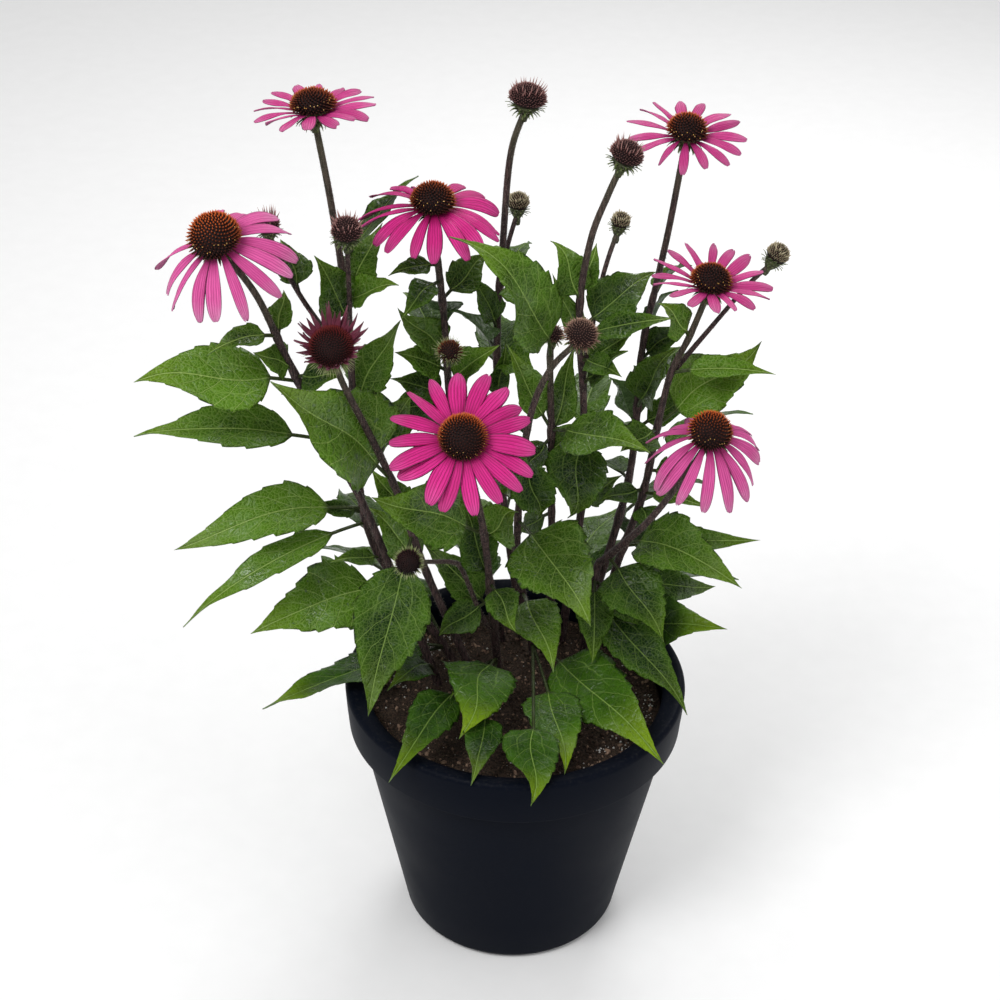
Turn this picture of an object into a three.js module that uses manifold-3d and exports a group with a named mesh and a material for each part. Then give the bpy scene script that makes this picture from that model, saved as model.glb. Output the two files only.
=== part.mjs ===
// Potted purple coneflower: a plastic nursery pot, its soil, twelve leafy stems that rise from one crown,
// their open flowers and their buds.
// Millimetres, +Z up. The origin is the centre of the pot's underside. The plant's front faces -Y.
import * as THREE from 'three';
import Module from 'manifold-3d';

const wasm = await Module();
wasm.setup();

// ---------------------------------------------------------------------------- driving dimensions

const GAP = 0.3;             // clearance between pieces that touch
const DEGREES = Math.PI / 180;

// Pot: outer radii from the underside to the rim, and the wall that follows them.
const POT = { height: 211, rim: 127, band: 125, bandHeight: 35, shoulder: 117, base: 83, corner: 5, wall: 2.2,
  floor: 4, floorRadius: 78 };
const POT_SIDES = 20;
const LIP = { radius: 110, drop: 8 };
const BAND_FOOT = POT.height - POT.bandHeight;
const LIP_FOOT = POT.height - LIP.drop;
const DRAIN = { count: 6, radius: 7, ring: 58 };

// Soil: mean height of its top, height of its bumps, and its clearance to the pot and the stems.
const SOIL = { top: 187, bump: 2.5, clearance: 0.6 };

// Stems: radius at the foot and under the head.
const STEM = { foot: 3.3, top: 2.1, sides: 5, steps: 8 };
const BRANCH = { foot: 1.9, top: 1.6, sides: 5, steps: 4 };

// Cups under the heads: depth of the cup, reach of its bracts, and how far the stem stops below its top.
const CUP = { depth: 11, collar: 3.4, bract: 5, seat: 4 };
const FLOWER_CUP = 9;
const BUD_CUP_SHARE = 0.7;

// The plate under the cone that the ray florets grow from.
const RAY_PLATE = { radius: 9, thickness: 2 };

// Ray florets: thickness of the middle rib, roll about their length, depth of the cleft tip as a share of the
// length, and the droop in degrees past which they have one more section.
const RAY = { rib: 0.9, roll: 0.2, cleft: 0.05, sharpDroop: 55 };

// Leaf blades.
const LEAF = { rib: 1.3, petiole: 1.3, fold: 0.14, wave: 0.1, tooth: 0.08, widest: 0.6, taper: 0.2,
  drawn: 1.3 };
// Blades turn their faces to the light: that of the front, or of the back for tips beyond the rear line.
const LIGHT = { front: new THREE.Vector3(0, -0.6, 0.8), back: new THREE.Vector3(0, 0.5, 0.86), rear: 76 };
const PETIOLE_SHARE = 0.18;
const BASAL_PETIOLE_SHARE = 0.34;
const CROWN = 200;           // height at which the basal leaves leave their stems

// Each leafy stem. path: centre line from the foot in the soil up to a little below the head.
// leaves: height on the stem, tip x, y, z, half width, arch and, where it differs from 0, turn in degrees.
// basal: the same, without a height, for the long-stalked leaves that leave the stem at the soil; the
// last number, where there is one, is the stalk's share of the leaf.
// branches: side stems, each with the height it leaves from, its way and the bud it carries.
const SHOOTS = {
  a: {
    path: [[-45, 50, 172], [-54, 48, 200], [-107, 34, 306], [-117, 25, 410], [-119, 15, 505], [-127, 6, 589]],
    leaves: [
      [338, -251, -10, 323, 18, 58], [266, -195, -20, 264, 27, 18], [545, -76, 90, 578, 13, 4],
      [497, -137, -10, 562, 17, 6], [291, -136, 0, 311, 7, 8], [334, -153, 10, 352, 6, 6],
      [325, -242, -35, 277, 11, 52], [272, -166, 90, 262, 15, 14], [300, -140, 130, 290, 16, 18],
      [390, -175, 95, 400, 14, 14], [425, -86, 35, 492, 16, 6], [515, -84, 2, 537, 11, 8],
      [400, -105, 38, 469, 10, 6], [512, -97, 26, 570, 13, 6],
    ],
    basal: [[-186, -40, 207, 18, 32, -35], [-115, 10, 222, 12, 20], [-120, 135, 220, 16, 28]],
    branches: [
      { from: 490, path: [[-117, 4, 525]], bud: 'bud_rising', leaves: [] },
      { from: 465, path: [[-145, 16, 508], [-159, 14, 537]], bud: 'bud_left',
        leaves: [[520, -163, 32, 555, 11, 6]] },
    ],
    head: 'left_back',
  },
  b: {
    path: [[-55, 20, 172], [-62, 18, 200], [-92, 8, 300], [-112, 0, 365], [-135, -15, 428], [-158, -36, 505],
      [-173, -46, 552]],
    leaves: [
      [518, -206, -60, 517, 8, 14], [478, -255, -60, 494, 23, 18], [423, -267, -20, 432, 16, 22],
      [515, -158, -15, 540, 8, 4], [482, -119, -42, 489, 11, 6], [488, -176, -49, 511, 12, 6],
    ],
    basal: [[-93, -55, 242, 14, 25]],
    branches: [],
    head: 'left_front',
  },
  c: {
    path: [[-28, 14, 172], [-32, 13, 200], [-66, 4, 300], [-85, 0, 368], [-102, -28, 434], [-118, -52, 490]],
    leaves: [
      [384, -162, -75, 505, 33, 20, 25], [415, -77, 0, 454, 12, 5], [335, -105, -75, 229, 26, 25],
      [300, -109, 16, 352, 13, 12], [345, -104, 3, 390, 9, 6],
    ],
    basal: [[-88, -128, 218, 16, 30]],
    branches: [],
    head: 'young',
  },
  d: {
    path: [[-10, 75, 172], [-13, 75, 200], [-42, 66, 330], [-51, 58, 414], [-55, 48, 486], [-59, 39, 535]],
    leaves: [
      [532, -92, 20, 535, 7, 6], [518, -84, 10, 506, 9, 14], [502, -24, 75, 524, 12, 6],
      [428, -16, 35, 473, 13, 8], [500, -54, 85, 463, 12, 8], [396, -98, 75, 402, 17, 10],
      [350, -60, 185, 340, 18, 18], [260, -40, 190, 245, 20, 22],
      [450, -90, 150, 455, 13, 12], [369, -75, 95, 331, 14, 10], [305, -91, 112, 237, 16, 12],
      [440, -88, 37, 465, 14, 6], [415, -93, 52, 436, 12, 6], [452, -87, 47, 493, 13, 6],
    ],
    basal: [[-60, 180, 216, 17, 30]],
    branches: [{ from: 435, path: [[-52, 34, 458]], bud: 'bud_inner', leaves: [] }],
    head: 'middle_back',
  },
  e: {
    path: [[5, 82, 172], [4, 82, 200], [-14, 81, 340], [-18, 76, 450], [-15, 66, 535], [-11, 57, 605]],
    leaves: [
      [503, 17, 40, 492, 13, 14], [463, -36, 60, 516, 10, 6], [398, -12, 62, 459, 7, 2],
      [437, 13, 60, 435, 13, 10], [300, 10, 195, 285, 19, 20], [420, -20, 180, 425, 15, 14],
      [500, 5, 150, 498, 11, 10], [385, 8, 112, 350, 13, 10], [445, -52, 76, 483, 17, 6],
    ],
    basal: [],
    branches: [{ from: 490, path: [[-12, 82, 524]], bud: 'bud_back_left', leaves: [] }],
    head: 'bud_top',
  },
  g: {
    path: [[-12, 38, 172], [-14, 34, 200], [-20, -2, 295], [-25, -28, 360], [-32, -52, 415]],
    leaves: [
      [355, -102, -40, 394, 22, 12], [295, -40, -25, 383, 14, 4], [298, 0, -35, 276, 12, 10],
      [349, -2, -16, 372, 18, 8], [277, -58, 0, 245, 12, 12], [262, -69, 23, 314, 14, 6],
    ],
    basal: [[-40, -91, 225, 27, 32, 0, 0.3], [-48, -45, 226, 8, 14], [-28, -127, 215, 13, 20, 0, 0.6]],
    branches: [
      { from: 236, path: [[-25, 10, 256], [-40, -14, 316], [-47, -26, 331], [-60, -43, 343]],
        bud: 'bud_front', leaves: [] },
    ],
    head: 'middle_front',
  },
  i: {
    path: [[15, 55, 172], [13, 53, 200], [0, 30, 295], [1, 9, 380], [6, -5, 440], [18, -15, 482]],
    leaves: [
      [338, 54, -55, 299, 30, 22], [408, 15, 5, 346, 15, 12], [427, -12, 22, 352, 14, 12],
      [260, 28, -44, 251, 19, 14],
    ],
    basal: [
      [13, -141, 208, 19, 50, 0, 0.7], [38, -111, 215, 20, 20, 0, 0.5], [104, -104, 216, 27, 38, 0, 0.28],
    ],
    branches: [],
    head: 'bud_middle',
  },
  j: {
    path: [[27, 64, 172], [27, 63, 200], [25, 46, 303], [22, 34, 400], [19, 25, 470]],
    leaves: [
      [470, -45, -12, 585, 23, 45], [406, 88, -30, 430, 19, 10], [406, -9, 10, 485, 12, -6],
      [395, 37, 47, 467, 10, 6], [400, 5, 40, 367, 9, 6], [330, 0, 54, 302, 9, 6],
      [385, 45, 36, 411, 9, 12],
    ],
    basal: [],
    branches: [],
    head: 'bud_middle_small',
  },
  k: {
    path: [[36, 76, 172], [37, 74, 200], [47, 56, 333], [44, 40, 427], [38, 24, 507], [43, 13, 565],
      [53, 6, 602]],
    leaves: [
      [512, 20, 28, 560, 13, 14], [490, 90, 48, 528, 19, 6], [516, 48, 35, 553, 8, 2],
      [485, 101, -5, 518, 9, 8], [441, 71, 10, 485, 10, 6], [400, 38, 5, 344, 21, 18],
      [472, 20, 22, 535, 8, 4], [464, 68, 5, 466, 9, 8], [380, 60, 180, 380, 16, 16],
      [250, 90, 185, 245, 19, 20], [455, 77, 35, 487, 9, 6], [325, 75, 51, 358, 8, 6],
    ],
    basal: [],
    branches: [{ from: 445, path: [[51, 46, 504], [57, 58, 527]], bud: 'bud_back_right', leaves: [] }],
    head: 'bud_tall',
  },
  l: {
    path: [[54, 84, 172], [56, 84, 200], [82, 80, 335], [86, 76, 447], [93, 70, 505], [99, 65, 552]],
    leaves: [
      [461, 106, 85, 496, 10, 4], [398, 105, 45, 468, 15, 8], [380, 137, 70, 425, 10, 6],
      [300, 150, 150, 290, 18, 20], [400, 125, 165, 405, 15, 14], [491, 118, 98, 509, 9, 8],
      [335, 54, 125, 324, 16, 10], [380, 60, 110, 360, 13, 8], [304, 100, 90, 252, 14, 10],
      [380, 65, 85, 425, 13, 6], [440, 118, 70, 475, 10, 6],
    ],
    basal: [[100, 165, 228, 18, 38]],
    branches: [],
    head: 'right_back',
  },
  m: {
    path: [[62, 60, 172], [64, 59, 200], [74, 50, 275], [90, 40, 348], [98, 32, 420], [104, 28, 459],
      [114, 24, 488]],
    leaves: [
      [412, 165, 40, 476, 24, -4], [457, 175, 15, 465, 8, 18], [350, 134, 0, 366, 7, 6],
      [353, 57, 20, 355, 8, 5], [338, 96, 25, 328, 9, 6], [300, 163, -10, 301, 22, 56],
      [298, 179, 35, 313, 10, 10], [408, 71, 10, 403, 14, 8], [371, 123, 30, 368, 10, 8],
      [230, 175, 110, 228, 19, 22], [380, 172, 105, 385, 14, 14], [253, 155, 62, 252, 14, 12],
      [488, 92, 18, 518, 12, 6],
    ],
    basal: [[151, -20, 274, 24, 38]],
    branches: [{ from: 455, path: [[123, 38, 478], [153, 52, 512]], bud: 'bud_right', leaves: [] }],
    head: 'right_middle',
  },
  n: {
    path: [[52, 40, 172], [52, 39, 200], [58, 30, 285], [66, 22, 305], [91, -10, 358], [112, -28, 407]],
    leaves: [
      [280, 57, -20, 237, 13, 12], [278, 100, -2, 252, 11, 10], [305, 106, -38, 273, 23, 18],
      [262, 126, -59, 226, 18, 12],
    ],
    basal: [],
    branches: [],
    head: 'right_front',
  },
};

// Open flowers: where the cup's top is, which way it faces, the cone and the ray florets.
// lift: how far a ray starts above the cup's plane; droop: how far it bends down from there, in degrees.
// gap: the directions between which the rays have fallen.
const FLOWERS = {
  left_back: { at: [-136, 1, 657], facing: [-0.05, 0.02, 1], radius: 14, height: 12,
    rays: 16, length: 31, half: 4, lift: 18, droop: 26, gap: [] },
  left_front: { at: [-194, -55, 591], facing: [-0.2, -0.4, 0.9], radius: 16.5, height: 19,
    rays: 15, length: 46, half: 5.8, lift: -8, droop: 54, gap: [105, 165] },
  middle_back: { at: [-62, 32, 577], facing: [0.02, -0.12, 0.99], radius: 14.5, height: 15,
    rays: 17, length: 43, half: 5, lift: 5, droop: 50, gap: [] },
  middle_front: { at: [-39, -73, 461], facing: [0.05, -0.6, 0.8], radius: 15.5, height: 14,
    rays: 18, length: 41, half: 5.6, lift: 8, droop: 28, gap: [] },
  right_back: { at: [106, 60, 620], facing: [0.06, -0.2, 0.98], radius: 13, height: 12,
    rays: 15, length: 32, half: 4.8, lift: 14, droop: 34, gap: [] },
  right_middle: { at: [125, 21, 528], facing: [0.1, -0.14, 0.98], radius: 13.5, height: 13,
    rays: 16, length: 33, half: 4.6, lift: 24, droop: 28, gap: [] },
  right_front: { at: [126, -37, 444], facing: [0.02, -0.35, 0.94], radius: 14.5, height: 17,
    rays: 16, length: 46, half: 5.2, lift: -18, droop: 58, gap: [] },
  young: { at: [-124, -60, 520], facing: [-0.02, -0.6, 0.8], radius: 13.5, height: 10,
    rays: 15, length: 20, half: 1.7, lift: 4, droop: -48, gap: [] },
};

// Buds: where the cup's top is, which way it faces, and the size of the head.
const BUDS = {
  bud_rising: { at: [-116, -15, 579], facing: [0.02, -0.2, 0.98], radius: 10, height: 13 },
  bud_left: { at: [-170, 13, 569], facing: [-0.1, -0.1, 0.98], radius: 8, height: 11 },
  bud_inner: { at: [-50, 20, 474], facing: [0, -0.5, 0.85], radius: 8, height: 9 },
  bud_back_left: { at: [-5, 90, 552], facing: [0.05, 0, 1], radius: 8, height: 10 },
  bud_top: { at: [-1, 50, 646], facing: [0.15, -0.05, 0.98], radius: 12.5, height: 12 },
  bud_front: { at: [-75, -64, 357], facing: [-0.25, -0.8, 0.54], radius: 8.5, height: 9 },
  bud_middle: { at: [37, -28, 515], facing: [0.1, -0.45, 0.88], radius: 10.5, height: 12 },
  bud_middle_small: { at: [21, 21, 488], facing: [0.1, -0.4, 0.9], radius: 6, height: 8 },
  bud_tall: { at: [62, 1, 629], facing: [0.3, -0.1, 0.95], radius: 11, height: 12 },
  bud_back_right: { at: [65, 70, 549], facing: [0.2, 0, 0.98], radius: 7, height: 9 },
  bud_right: { at: [172, 59, 531], facing: [0.5, 0.05, 0.86], radius: 8.5, height: 11 },
};

const HEADS = { ...FLOWERS, ...BUDS };

function cupRadius(name) {
  return name in FLOWERS ? FLOWER_CUP : BUDS[name].radius * BUD_CUP_SHARE;
}

// ---------------------------------------------------------------------------- tools

function makeRandom(seed) {
  let state = seed;
  return () => {
    state = (state * 16807) % 2147483647;
    return state / 2147483647;
  };
}

function vector(point) {
  return new THREE.Vector3(...point);
}

function spline(points) {
  return new THREE.CatmullRomCurve3(points.map(vector), false, 'catmullrom', 0.5);
}

// A closed solid through rings of points; a ring of one point is a tip. With alternate set, the quads of
// a blade's two faces are split along the same diagonals.
function loft(rings, alternate = false) {
  const positions = [];
  const starts = [];
  for (const ring of rings) {
    starts.push(positions.length / 3);
    ring.forEach((point) => positions.push(point.x, point.y, point.z));
  }
  const triangles = [];
  for (let i = 0; i + 1 < rings.length; i += 1) {
    const near = rings[i].length;
    const far = rings[i + 1].length;
    for (let k = 0; k < Math.max(near, far); k += 1) {
      const a = starts[i] + (k % near);
      const b = starts[i] + ((k + 1) % near);
      const c = starts[i + 1] + (k % far);
      const d = starts[i + 1] + ((k + 1) % far);
      if (far === 1) triangles.push(a, b, c);
      else if (near === 1) triangles.push(a, d, c);
      else if (alternate && k % 2 === 0) triangles.push(a, b, c, b, d, c);
      else triangles.push(a, b, d, a, d, c);
    }
  }
  const last = rings.length - 1;
  for (let k = 1; k + 1 < rings[0].length; k += 1) triangles.push(0, k + 1, k);
  for (let k = 1; k + 1 < rings[last].length; k += 1) {
    triangles.push(starts[last], starts[last] + k, starts[last] + k + 1);
  }
  return solid(positions, triangles);
}

// Six times the volume that the triangles enclose; negative where they face inwards.
function signedVolume(positions, triangles) {
  const corner = (index) => new THREE.Vector3().fromArray(positions, index * 3);
  let sum = 0;
  for (let t = 0; t < triangles.length; t += 3) {
    const [a, b, c] = [corner(triangles[t]), corner(triangles[t + 1]), corner(triangles[t + 2])];
    sum += a.dot(b.cross(c));
  }
  return sum;
}

function solid(positions, triangles) {
  const outward = signedVolume(positions, triangles) > 0 ? triangles : triangles.slice().reverse();
  return new wasm.Manifold(new wasm.Mesh({
    numProp: 3, vertProperties: Float32Array.from(positions), triVerts: Uint32Array.from(outward),
  }));
}

function fuse(solids) {
  return solids.reduce((whole, next) => whole.add(next));
}

// A tube in even steps along a curve; the radius runs evenly from its foot to its top.
function tube(curve, sizes) {
  const rings = [];
  let side = new THREE.Vector3(1, 0, 0);
  for (let i = 0; i <= sizes.steps; i += 1) {
    const t = i / sizes.steps;
    const tangent = curve.getTangentAt(t);
    const across = new THREE.Vector3().crossVectors(tangent, side).normalize();
    side = new THREE.Vector3().crossVectors(across, tangent).normalize();
    const radius = THREE.MathUtils.lerp(sizes.foot, sizes.top, t);
    rings.push(circle(curve.getPointAt(t), side, across, radius, sizes.sides));
  }
  return loft(rings);
}

function circle(centre, side, across, radius, count) {
  return Array.from({ length: count }, (_, k) => {
    const angle = (2 * Math.PI * k) / count;
    return centre.clone()
      .addScaledVector(side, radius * Math.cos(angle))
      .addScaledVector(across, radius * Math.sin(angle));
  });
}

// The axes of a head: along faces out of it, side points to the right and back to the rear.
function headFrame(head) {
  const along = vector(head.facing).normalize();
  const side = new THREE.Vector3(0, 1, 0).cross(along).normalize();
  const back = new THREE.Vector3().crossVectors(along, side);
  return { origin: vector(head.at), along, side, back };
}

function headPoint(frame, angle, radius, height) {
  return frame.origin.clone()
    .addScaledVector(frame.side, radius * Math.cos(angle))
    .addScaledVector(frame.back, radius * Math.sin(angle))
    .addScaledVector(frame.along, height);
}

// ---------------------------------------------------------------------------- pot and soil

function lathe(profile, sides) {
  const rings = profile.map(([radius, height]) => {
    if (radius === 0) return [new THREE.Vector3(0, 0, height)];
    return circle(new THREE.Vector3(0, 0, height), new THREE.Vector3(1, 0, 0), new THREE.Vector3(0, 1, 0),
      radius, sides);
  });
  return loft(rings);
}

// Inner radius of the pot's wall at a height, up to the foot of its rim band.
function innerRadius(height) {
  return THREE.MathUtils.mapLinear(height, POT.floor, BAND_FOOT, POT.floorRadius, POT.shoulder - POT.wall);
}

function pot() {
  const profile = [
    [0, 0], [POT.base - POT.corner, 0], [POT.base, POT.corner],
    [POT.shoulder, BAND_FOOT], [POT.shoulder + 2, LIP_FOOT],
    [POT.rim - POT.wall - 1, LIP_FOOT], [POT.band - POT.wall, BAND_FOOT],
    [POT.band, BAND_FOOT], [POT.rim, POT.height - 5], [POT.rim - 3, POT.height],
    [LIP.radius + 3, POT.height - 3], [LIP.radius, LIP_FOOT],
    [innerRadius(BAND_FOOT), BAND_FOOT], [innerRadius(POT.floor), POT.floor], [0, POT.floor],
  ];
  const drains = Array.from({ length: DRAIN.count }, (_, k) => {
    const angle = (2 * Math.PI * (k + 0.5)) / DRAIN.count;
    return post(DRAIN.ring * Math.cos(angle), DRAIN.ring * Math.sin(angle), DRAIN.radius, -5, 10, 6);
  });
  return drains.reduce((whole, drain) => whole.subtract(drain), lathe(profile, POT_SIDES));
}

// An upright prism.
function post(x, y, radius, bottom, top, sides) {
  const ring = (z) => circle(new THREE.Vector3(x, y, z), new THREE.Vector3(1, 0, 0),
    new THREE.Vector3(0, 1, 0), radius, sides);
  return loft([ring(bottom), ring(top)]);
}

function soil() {
  const random = makeRandom(4021);
  const ring = (radius, height, bump) => Array.from({ length: POT_SIDES }, (_, k) => {
    const angle = (2 * Math.PI * k) / POT_SIDES;
    const lift = bump * (2 * random() - 1);
    return new THREE.Vector3(radius * Math.cos(angle), radius * Math.sin(angle), height + lift);
  });
  const body = loft([
    ring(innerRadius(POT.floor) - SOIL.clearance, POT.floor + GAP, 0),
    ring(innerRadius(BAND_FOOT) - SOIL.clearance, BAND_FOOT, 0),
    ring(LIP.radius, SOIL.top - 2, 0),
    ring(90, SOIL.top, SOIL.bump),
    ring(34, SOIL.top + 1, SOIL.bump * 0.3),
    [new THREE.Vector3(0, 0, SOIL.top + 1)],
  ]);
  return Object.values(SHOOTS).reduce((whole, shoot) => whole.subtract(stemHole(shoot)), body);
}

// The plain hole that a stem stands in: the stem's own way, wider and a little deeper.
function stemHole(shoot) {
  const [x, y, foot] = shoot.path[0];
  const way = [[x, y, foot - GAP], ...stemPath(shoot).slice(1)];
  const sizes = { ...STEM, foot: STEM.foot + SOIL.clearance, top: STEM.top + SOIL.clearance };
  return tube(spline(way), sizes);
}

// ---------------------------------------------------------------------------- stems and leaves

// Share of the half width at a place along the blade: ovate, widest at a third, with a drawn-out tip.
function bladeOutline(u) {
  return (Math.sin(Math.PI * u ** LEAF.widest) ** LEAF.drawn * (1 - LEAF.taper * u)) / 0.92;
}

function leaf(base, tip, half, arch, turn, petiole) {
  const along = tip.clone().sub(base).normalize();
  const light = tip.y < LIGHT.rear ? LIGHT.front : LIGHT.back;
  const side = new THREE.Vector3().crossVectors(along, light).normalize();
  const rise = new THREE.Vector3().crossVectors(side, along);
  const knee = base.clone().lerp(tip, 0.5).addScaledVector(rise, arch);
  const midrib = new THREE.QuadraticBezierCurve3(base, knee, tip);
  const roll = turn * DEGREES;
  const section = (t, width, thickness, fold, wave) => {
    const centre = midrib.getPoint(t);
    const normal = new THREE.Vector3().crossVectors(side, midrib.getTangent(t)).normalize();
    const across = side.clone().multiplyScalar(Math.cos(roll)).addScaledVector(normal, Math.sin(roll));
    const up = normal.multiplyScalar(Math.cos(roll)).addScaledVector(side, -Math.sin(roll));
    return [
      centre.clone().addScaledVector(up, thickness / 2),
      centre.clone().addScaledVector(across, width).addScaledVector(up, width * (fold + wave)),
      centre.clone().addScaledVector(up, -thickness / 2),
      centre.clone().addScaledVector(across, -width).addScaledVector(up, width * (fold - wave)),
    ];
  };
  const stalk = (t) => section(t, LEAF.petiole, LEAF.petiole * 2, 0, 0);
  const rings = [stalk(0), stalk(petiole)];
  const stations = THREE.MathUtils.clamp(Math.ceil(half / 4), 4, 6);
  for (let i = 1; i < stations; i += 1) {
    const u = i / stations;
    const tooth = 1 + LEAF.tooth * (i % 2 === 0 ? -1 : 1);
    const width = half * bladeOutline(u) * tooth + LEAF.petiole * (1 - u);
    const wave = LEAF.wave * Math.sin(9 * u + tip.x);
    rings.push(section(petiole + (1 - petiole) * u, width, LEAF.rib, LEAF.fold, wave));
  }
  rings.push([tip]);
  return loft(rings, true);
}

// The point where a stem's tube, as built in steps, has its centre line at a height.
function atHeight(curve, steps, height) {
  const nodes = Array.from({ length: steps + 1 }, (_, k) => curve.getPointAt(k / steps));
  const next = Math.max(1, nodes.findIndex((node) => node.z >= height));
  const [low, high] = [nodes[next - 1], nodes[next]];
  return low.clone().lerp(high, (height - low.z) / (high.z - low.z));
}

// The green cup under a head, with a collar of pointed bracts.
function cup(head, radius, bracts) {
  const frame = headFrame(head);
  const star = (inner, outer, height) => Array.from({ length: bracts * 2 }, (_, k) => (
    headPoint(frame, (Math.PI * k) / bracts, k % 2 === 0 ? outer : inner, height)));
  return loft([
    [headPoint(frame, 0, 0, -CUP.depth)],
    star(radius * 0.8, radius + CUP.bract, -CUP.collar),
    star(radius, radius, 0),
  ]);
}

// A stem's centre line, led into the cup that it carries.
function stemPath(shoot) {
  return [...shoot.path, below(HEADS[shoot.head])];
}

function below(head) {
  return headPoint(headFrame(head), 0, 0, -CUP.seat).toArray();
}

function stemLeaves(curve, steps, rows) {
  return rows.map(([height, x, y, z, half, arch, turn = 0]) => (
    leaf(atHeight(curve, steps, height), new THREE.Vector3(x, y, z), half, arch, turn, PETIOLE_SHARE)));
}

function leafyStem(shoot) {
  const curve = spline(stemPath(shoot));
  const crown = atHeight(curve, STEM.steps, CROWN);
  const pieces = [tube(curve, STEM), cup(HEADS[shoot.head], cupRadius(shoot.head), 8)];
  pieces.push(...stemLeaves(curve, STEM.steps, shoot.leaves));
  for (const [x, y, z, half, arch, turn = 0, petiole = BASAL_PETIOLE_SHARE] of shoot.basal) {
    pieces.push(leaf(crown, new THREE.Vector3(x, y, z), half, arch, turn, petiole));
  }
  for (const { from, path, bud: name, leaves } of shoot.branches) {
    const side = spline([atHeight(curve, STEM.steps, from).toArray(), ...path, below(HEADS[name])]);
    pieces.push(tube(side, BRANCH), cup(HEADS[name], cupRadius(name), 6));
    pieces.push(...stemLeaves(side, BRANCH.steps, leaves));
  }
  return fuse(pieces);
}

// ---------------------------------------------------------------------------- flowers and buds

// A dome studded with points, one at every third place round each level, so that they wind upwards.
function studdedHead(head, start, levels, around, point) {
  const frame = headFrame(head);
  const ring = (level, size, height, slope) => Array.from({ length: around }, (_, k) => {
    const out = level > 0 && (k + level) % 3 === 0 ? point : 0;
    return headPoint(frame, (2 * Math.PI * k) / around, size + out * Math.cos(slope),
      height + out * Math.sin(slope));
  });
  const rings = [ring(0, head.radius * 0.62, start, 0)];
  for (let level = 1; level <= levels; level += 1) {
    const slope = ((level - 1) / levels) * 82 * DEGREES;
    const height = start + head.height * (0.25 + 0.75 * Math.sin(slope));
    rings.push(ring(level, (head.radius - point * 0.5) * Math.cos(slope), height, slope));
  }
  rings.push([headPoint(frame, 0, 0, start + head.height)]);
  return loft(rings);
}

// Two directions square to each other, turned together by an angle from the first towards the second.
function turned(first, second, angle) {
  return [
    first.clone().multiplyScalar(Math.cos(angle)).addScaledVector(second, Math.sin(angle)),
    second.clone().multiplyScalar(Math.cos(angle)).addScaledVector(first, -Math.sin(angle)),
  ];
}

// Sections of one ray floret, a strip that arches down from the plate and is ridged along its middle.
// Each is [ridge, left edge, right edge], from near the plate to the cleft tip.
function raySections(frame, angle, length, half, lift, droop) {
  const radial = headPoint(frame, angle, 1, 0).sub(frame.origin);
  const tangential = new THREE.Vector3().crossVectors(frame.along, radial);
  const first = lift * DEGREES;
  const bend = droop * DEGREES;
  const section = (s, width, cleft) => {
    const pitch = first - bend * s;
    const out = RAY_PLATE.radius + (length * (Math.sin(first) - Math.sin(pitch))) / bend;
    const height = GAP + RAY_PLATE.thickness / 2 + (length * (Math.cos(pitch) - Math.cos(first))) / bend;
    const centre = headPoint(frame, angle, out, height);
    const [outward, normal] = turned(radial, frame.along, pitch);
    const [across, up] = turned(tangential, normal, RAY.roll);
    const edge = (reach) => centre.clone().addScaledVector(across, reach).addScaledVector(up, -RAY.rib * 0.4);
    const ridge = centre.clone().addScaledVector(up, RAY.rib * 0.6).addScaledVector(outward, -cleft);
    return [ridge, edge(width), edge(-width)];
  };
  const blade = [section(0.3, half * 0.72, 0)];
  if (droop > RAY.sharpDroop) blade.push(section(0.6, half, 0));
  blade.push(section(0.8, half * 0.92, 0), section(1, half * 0.45, length * RAY.cleft));
  return blade;
}

// All the rays of a flower round one thin plate: each grows out of one side of the plate.
function rays(flower, seed) {
  const frame = headFrame(flower);
  const random = makeRandom(seed);
  const count = flower.rays;
  const points = [];
  const triangles = [];
  const corner = (k, height) => headPoint(frame, (2 * Math.PI * (k - 0.5)) / count, RAY_PLATE.radius, height);
  for (let k = 0; k < count; k += 1) points.push(corner(k, GAP + RAY_PLATE.thickness), corner(k, GAP));
  for (let k = 1; k + 1 < count; k += 1) {
    triangles.push(0, 2 * k, 2 * k + 2, 1, 2 * k + 3, 2 * k + 1);
  }
  for (let k = 0; k < count; k += 1) {
    const degrees = (360 * (k + 0.2 * (random() - 0.5))) / count;
    const length = flower.length * (0.93 + 0.12 * random());
    const lift = flower.lift + 8 * (random() - 0.5);
    const droop = flower.droop * (0.85 + 0.3 * random());
    const next = (k + 1) % count;
    const [top, foot, nextTop, nextFoot] = [2 * k, 2 * k + 1, 2 * next, 2 * next + 1];
    if (flower.gap.length > 0 && degrees > flower.gap[0] && degrees < flower.gap[1]) {
      triangles.push(top, foot, nextFoot, top, nextFoot, nextTop);
      continue;
    }
    let ridge = points.length;
    const blade = raySections(frame, degrees * DEGREES, length, flower.half, lift, droop);
    triangles.push(top, ridge, nextTop, top, ridge + 2, ridge, nextTop, ridge, ridge + 1);
    triangles.push(foot, ridge + 1, ridge + 2, foot, nextFoot, ridge + 1);
    triangles.push(top, foot, ridge + 2, nextTop, ridge + 1, nextFoot);
    blade.forEach((section, index) => {
      points.push(...section);
      if (index + 1 === blade.length) return;
      const [left, right, far] = [ridge + 1, ridge + 2, ridge + 3];
      triangles.push(ridge, right, far, right, far + 2, far, ridge, far, left, left, far, far + 1);
      triangles.push(left, far + 1, right, right, far + 1, far + 2);
      ridge = far;
    });
    triangles.push(ridge, ridge + 2, ridge + 1);
  }
  return solid(points.flatMap((point) => point.toArray()), triangles);
}

function cone(flower) {
  return studdedHead(flower, RAY_PLATE.thickness + 2 * GAP, 5, 15, 2.4);
}

function bud(head) {
  return studdedHead(head, GAP, 4, 9, 1.8);
}

// ---------------------------------------------------------------------------- scene graph

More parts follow.
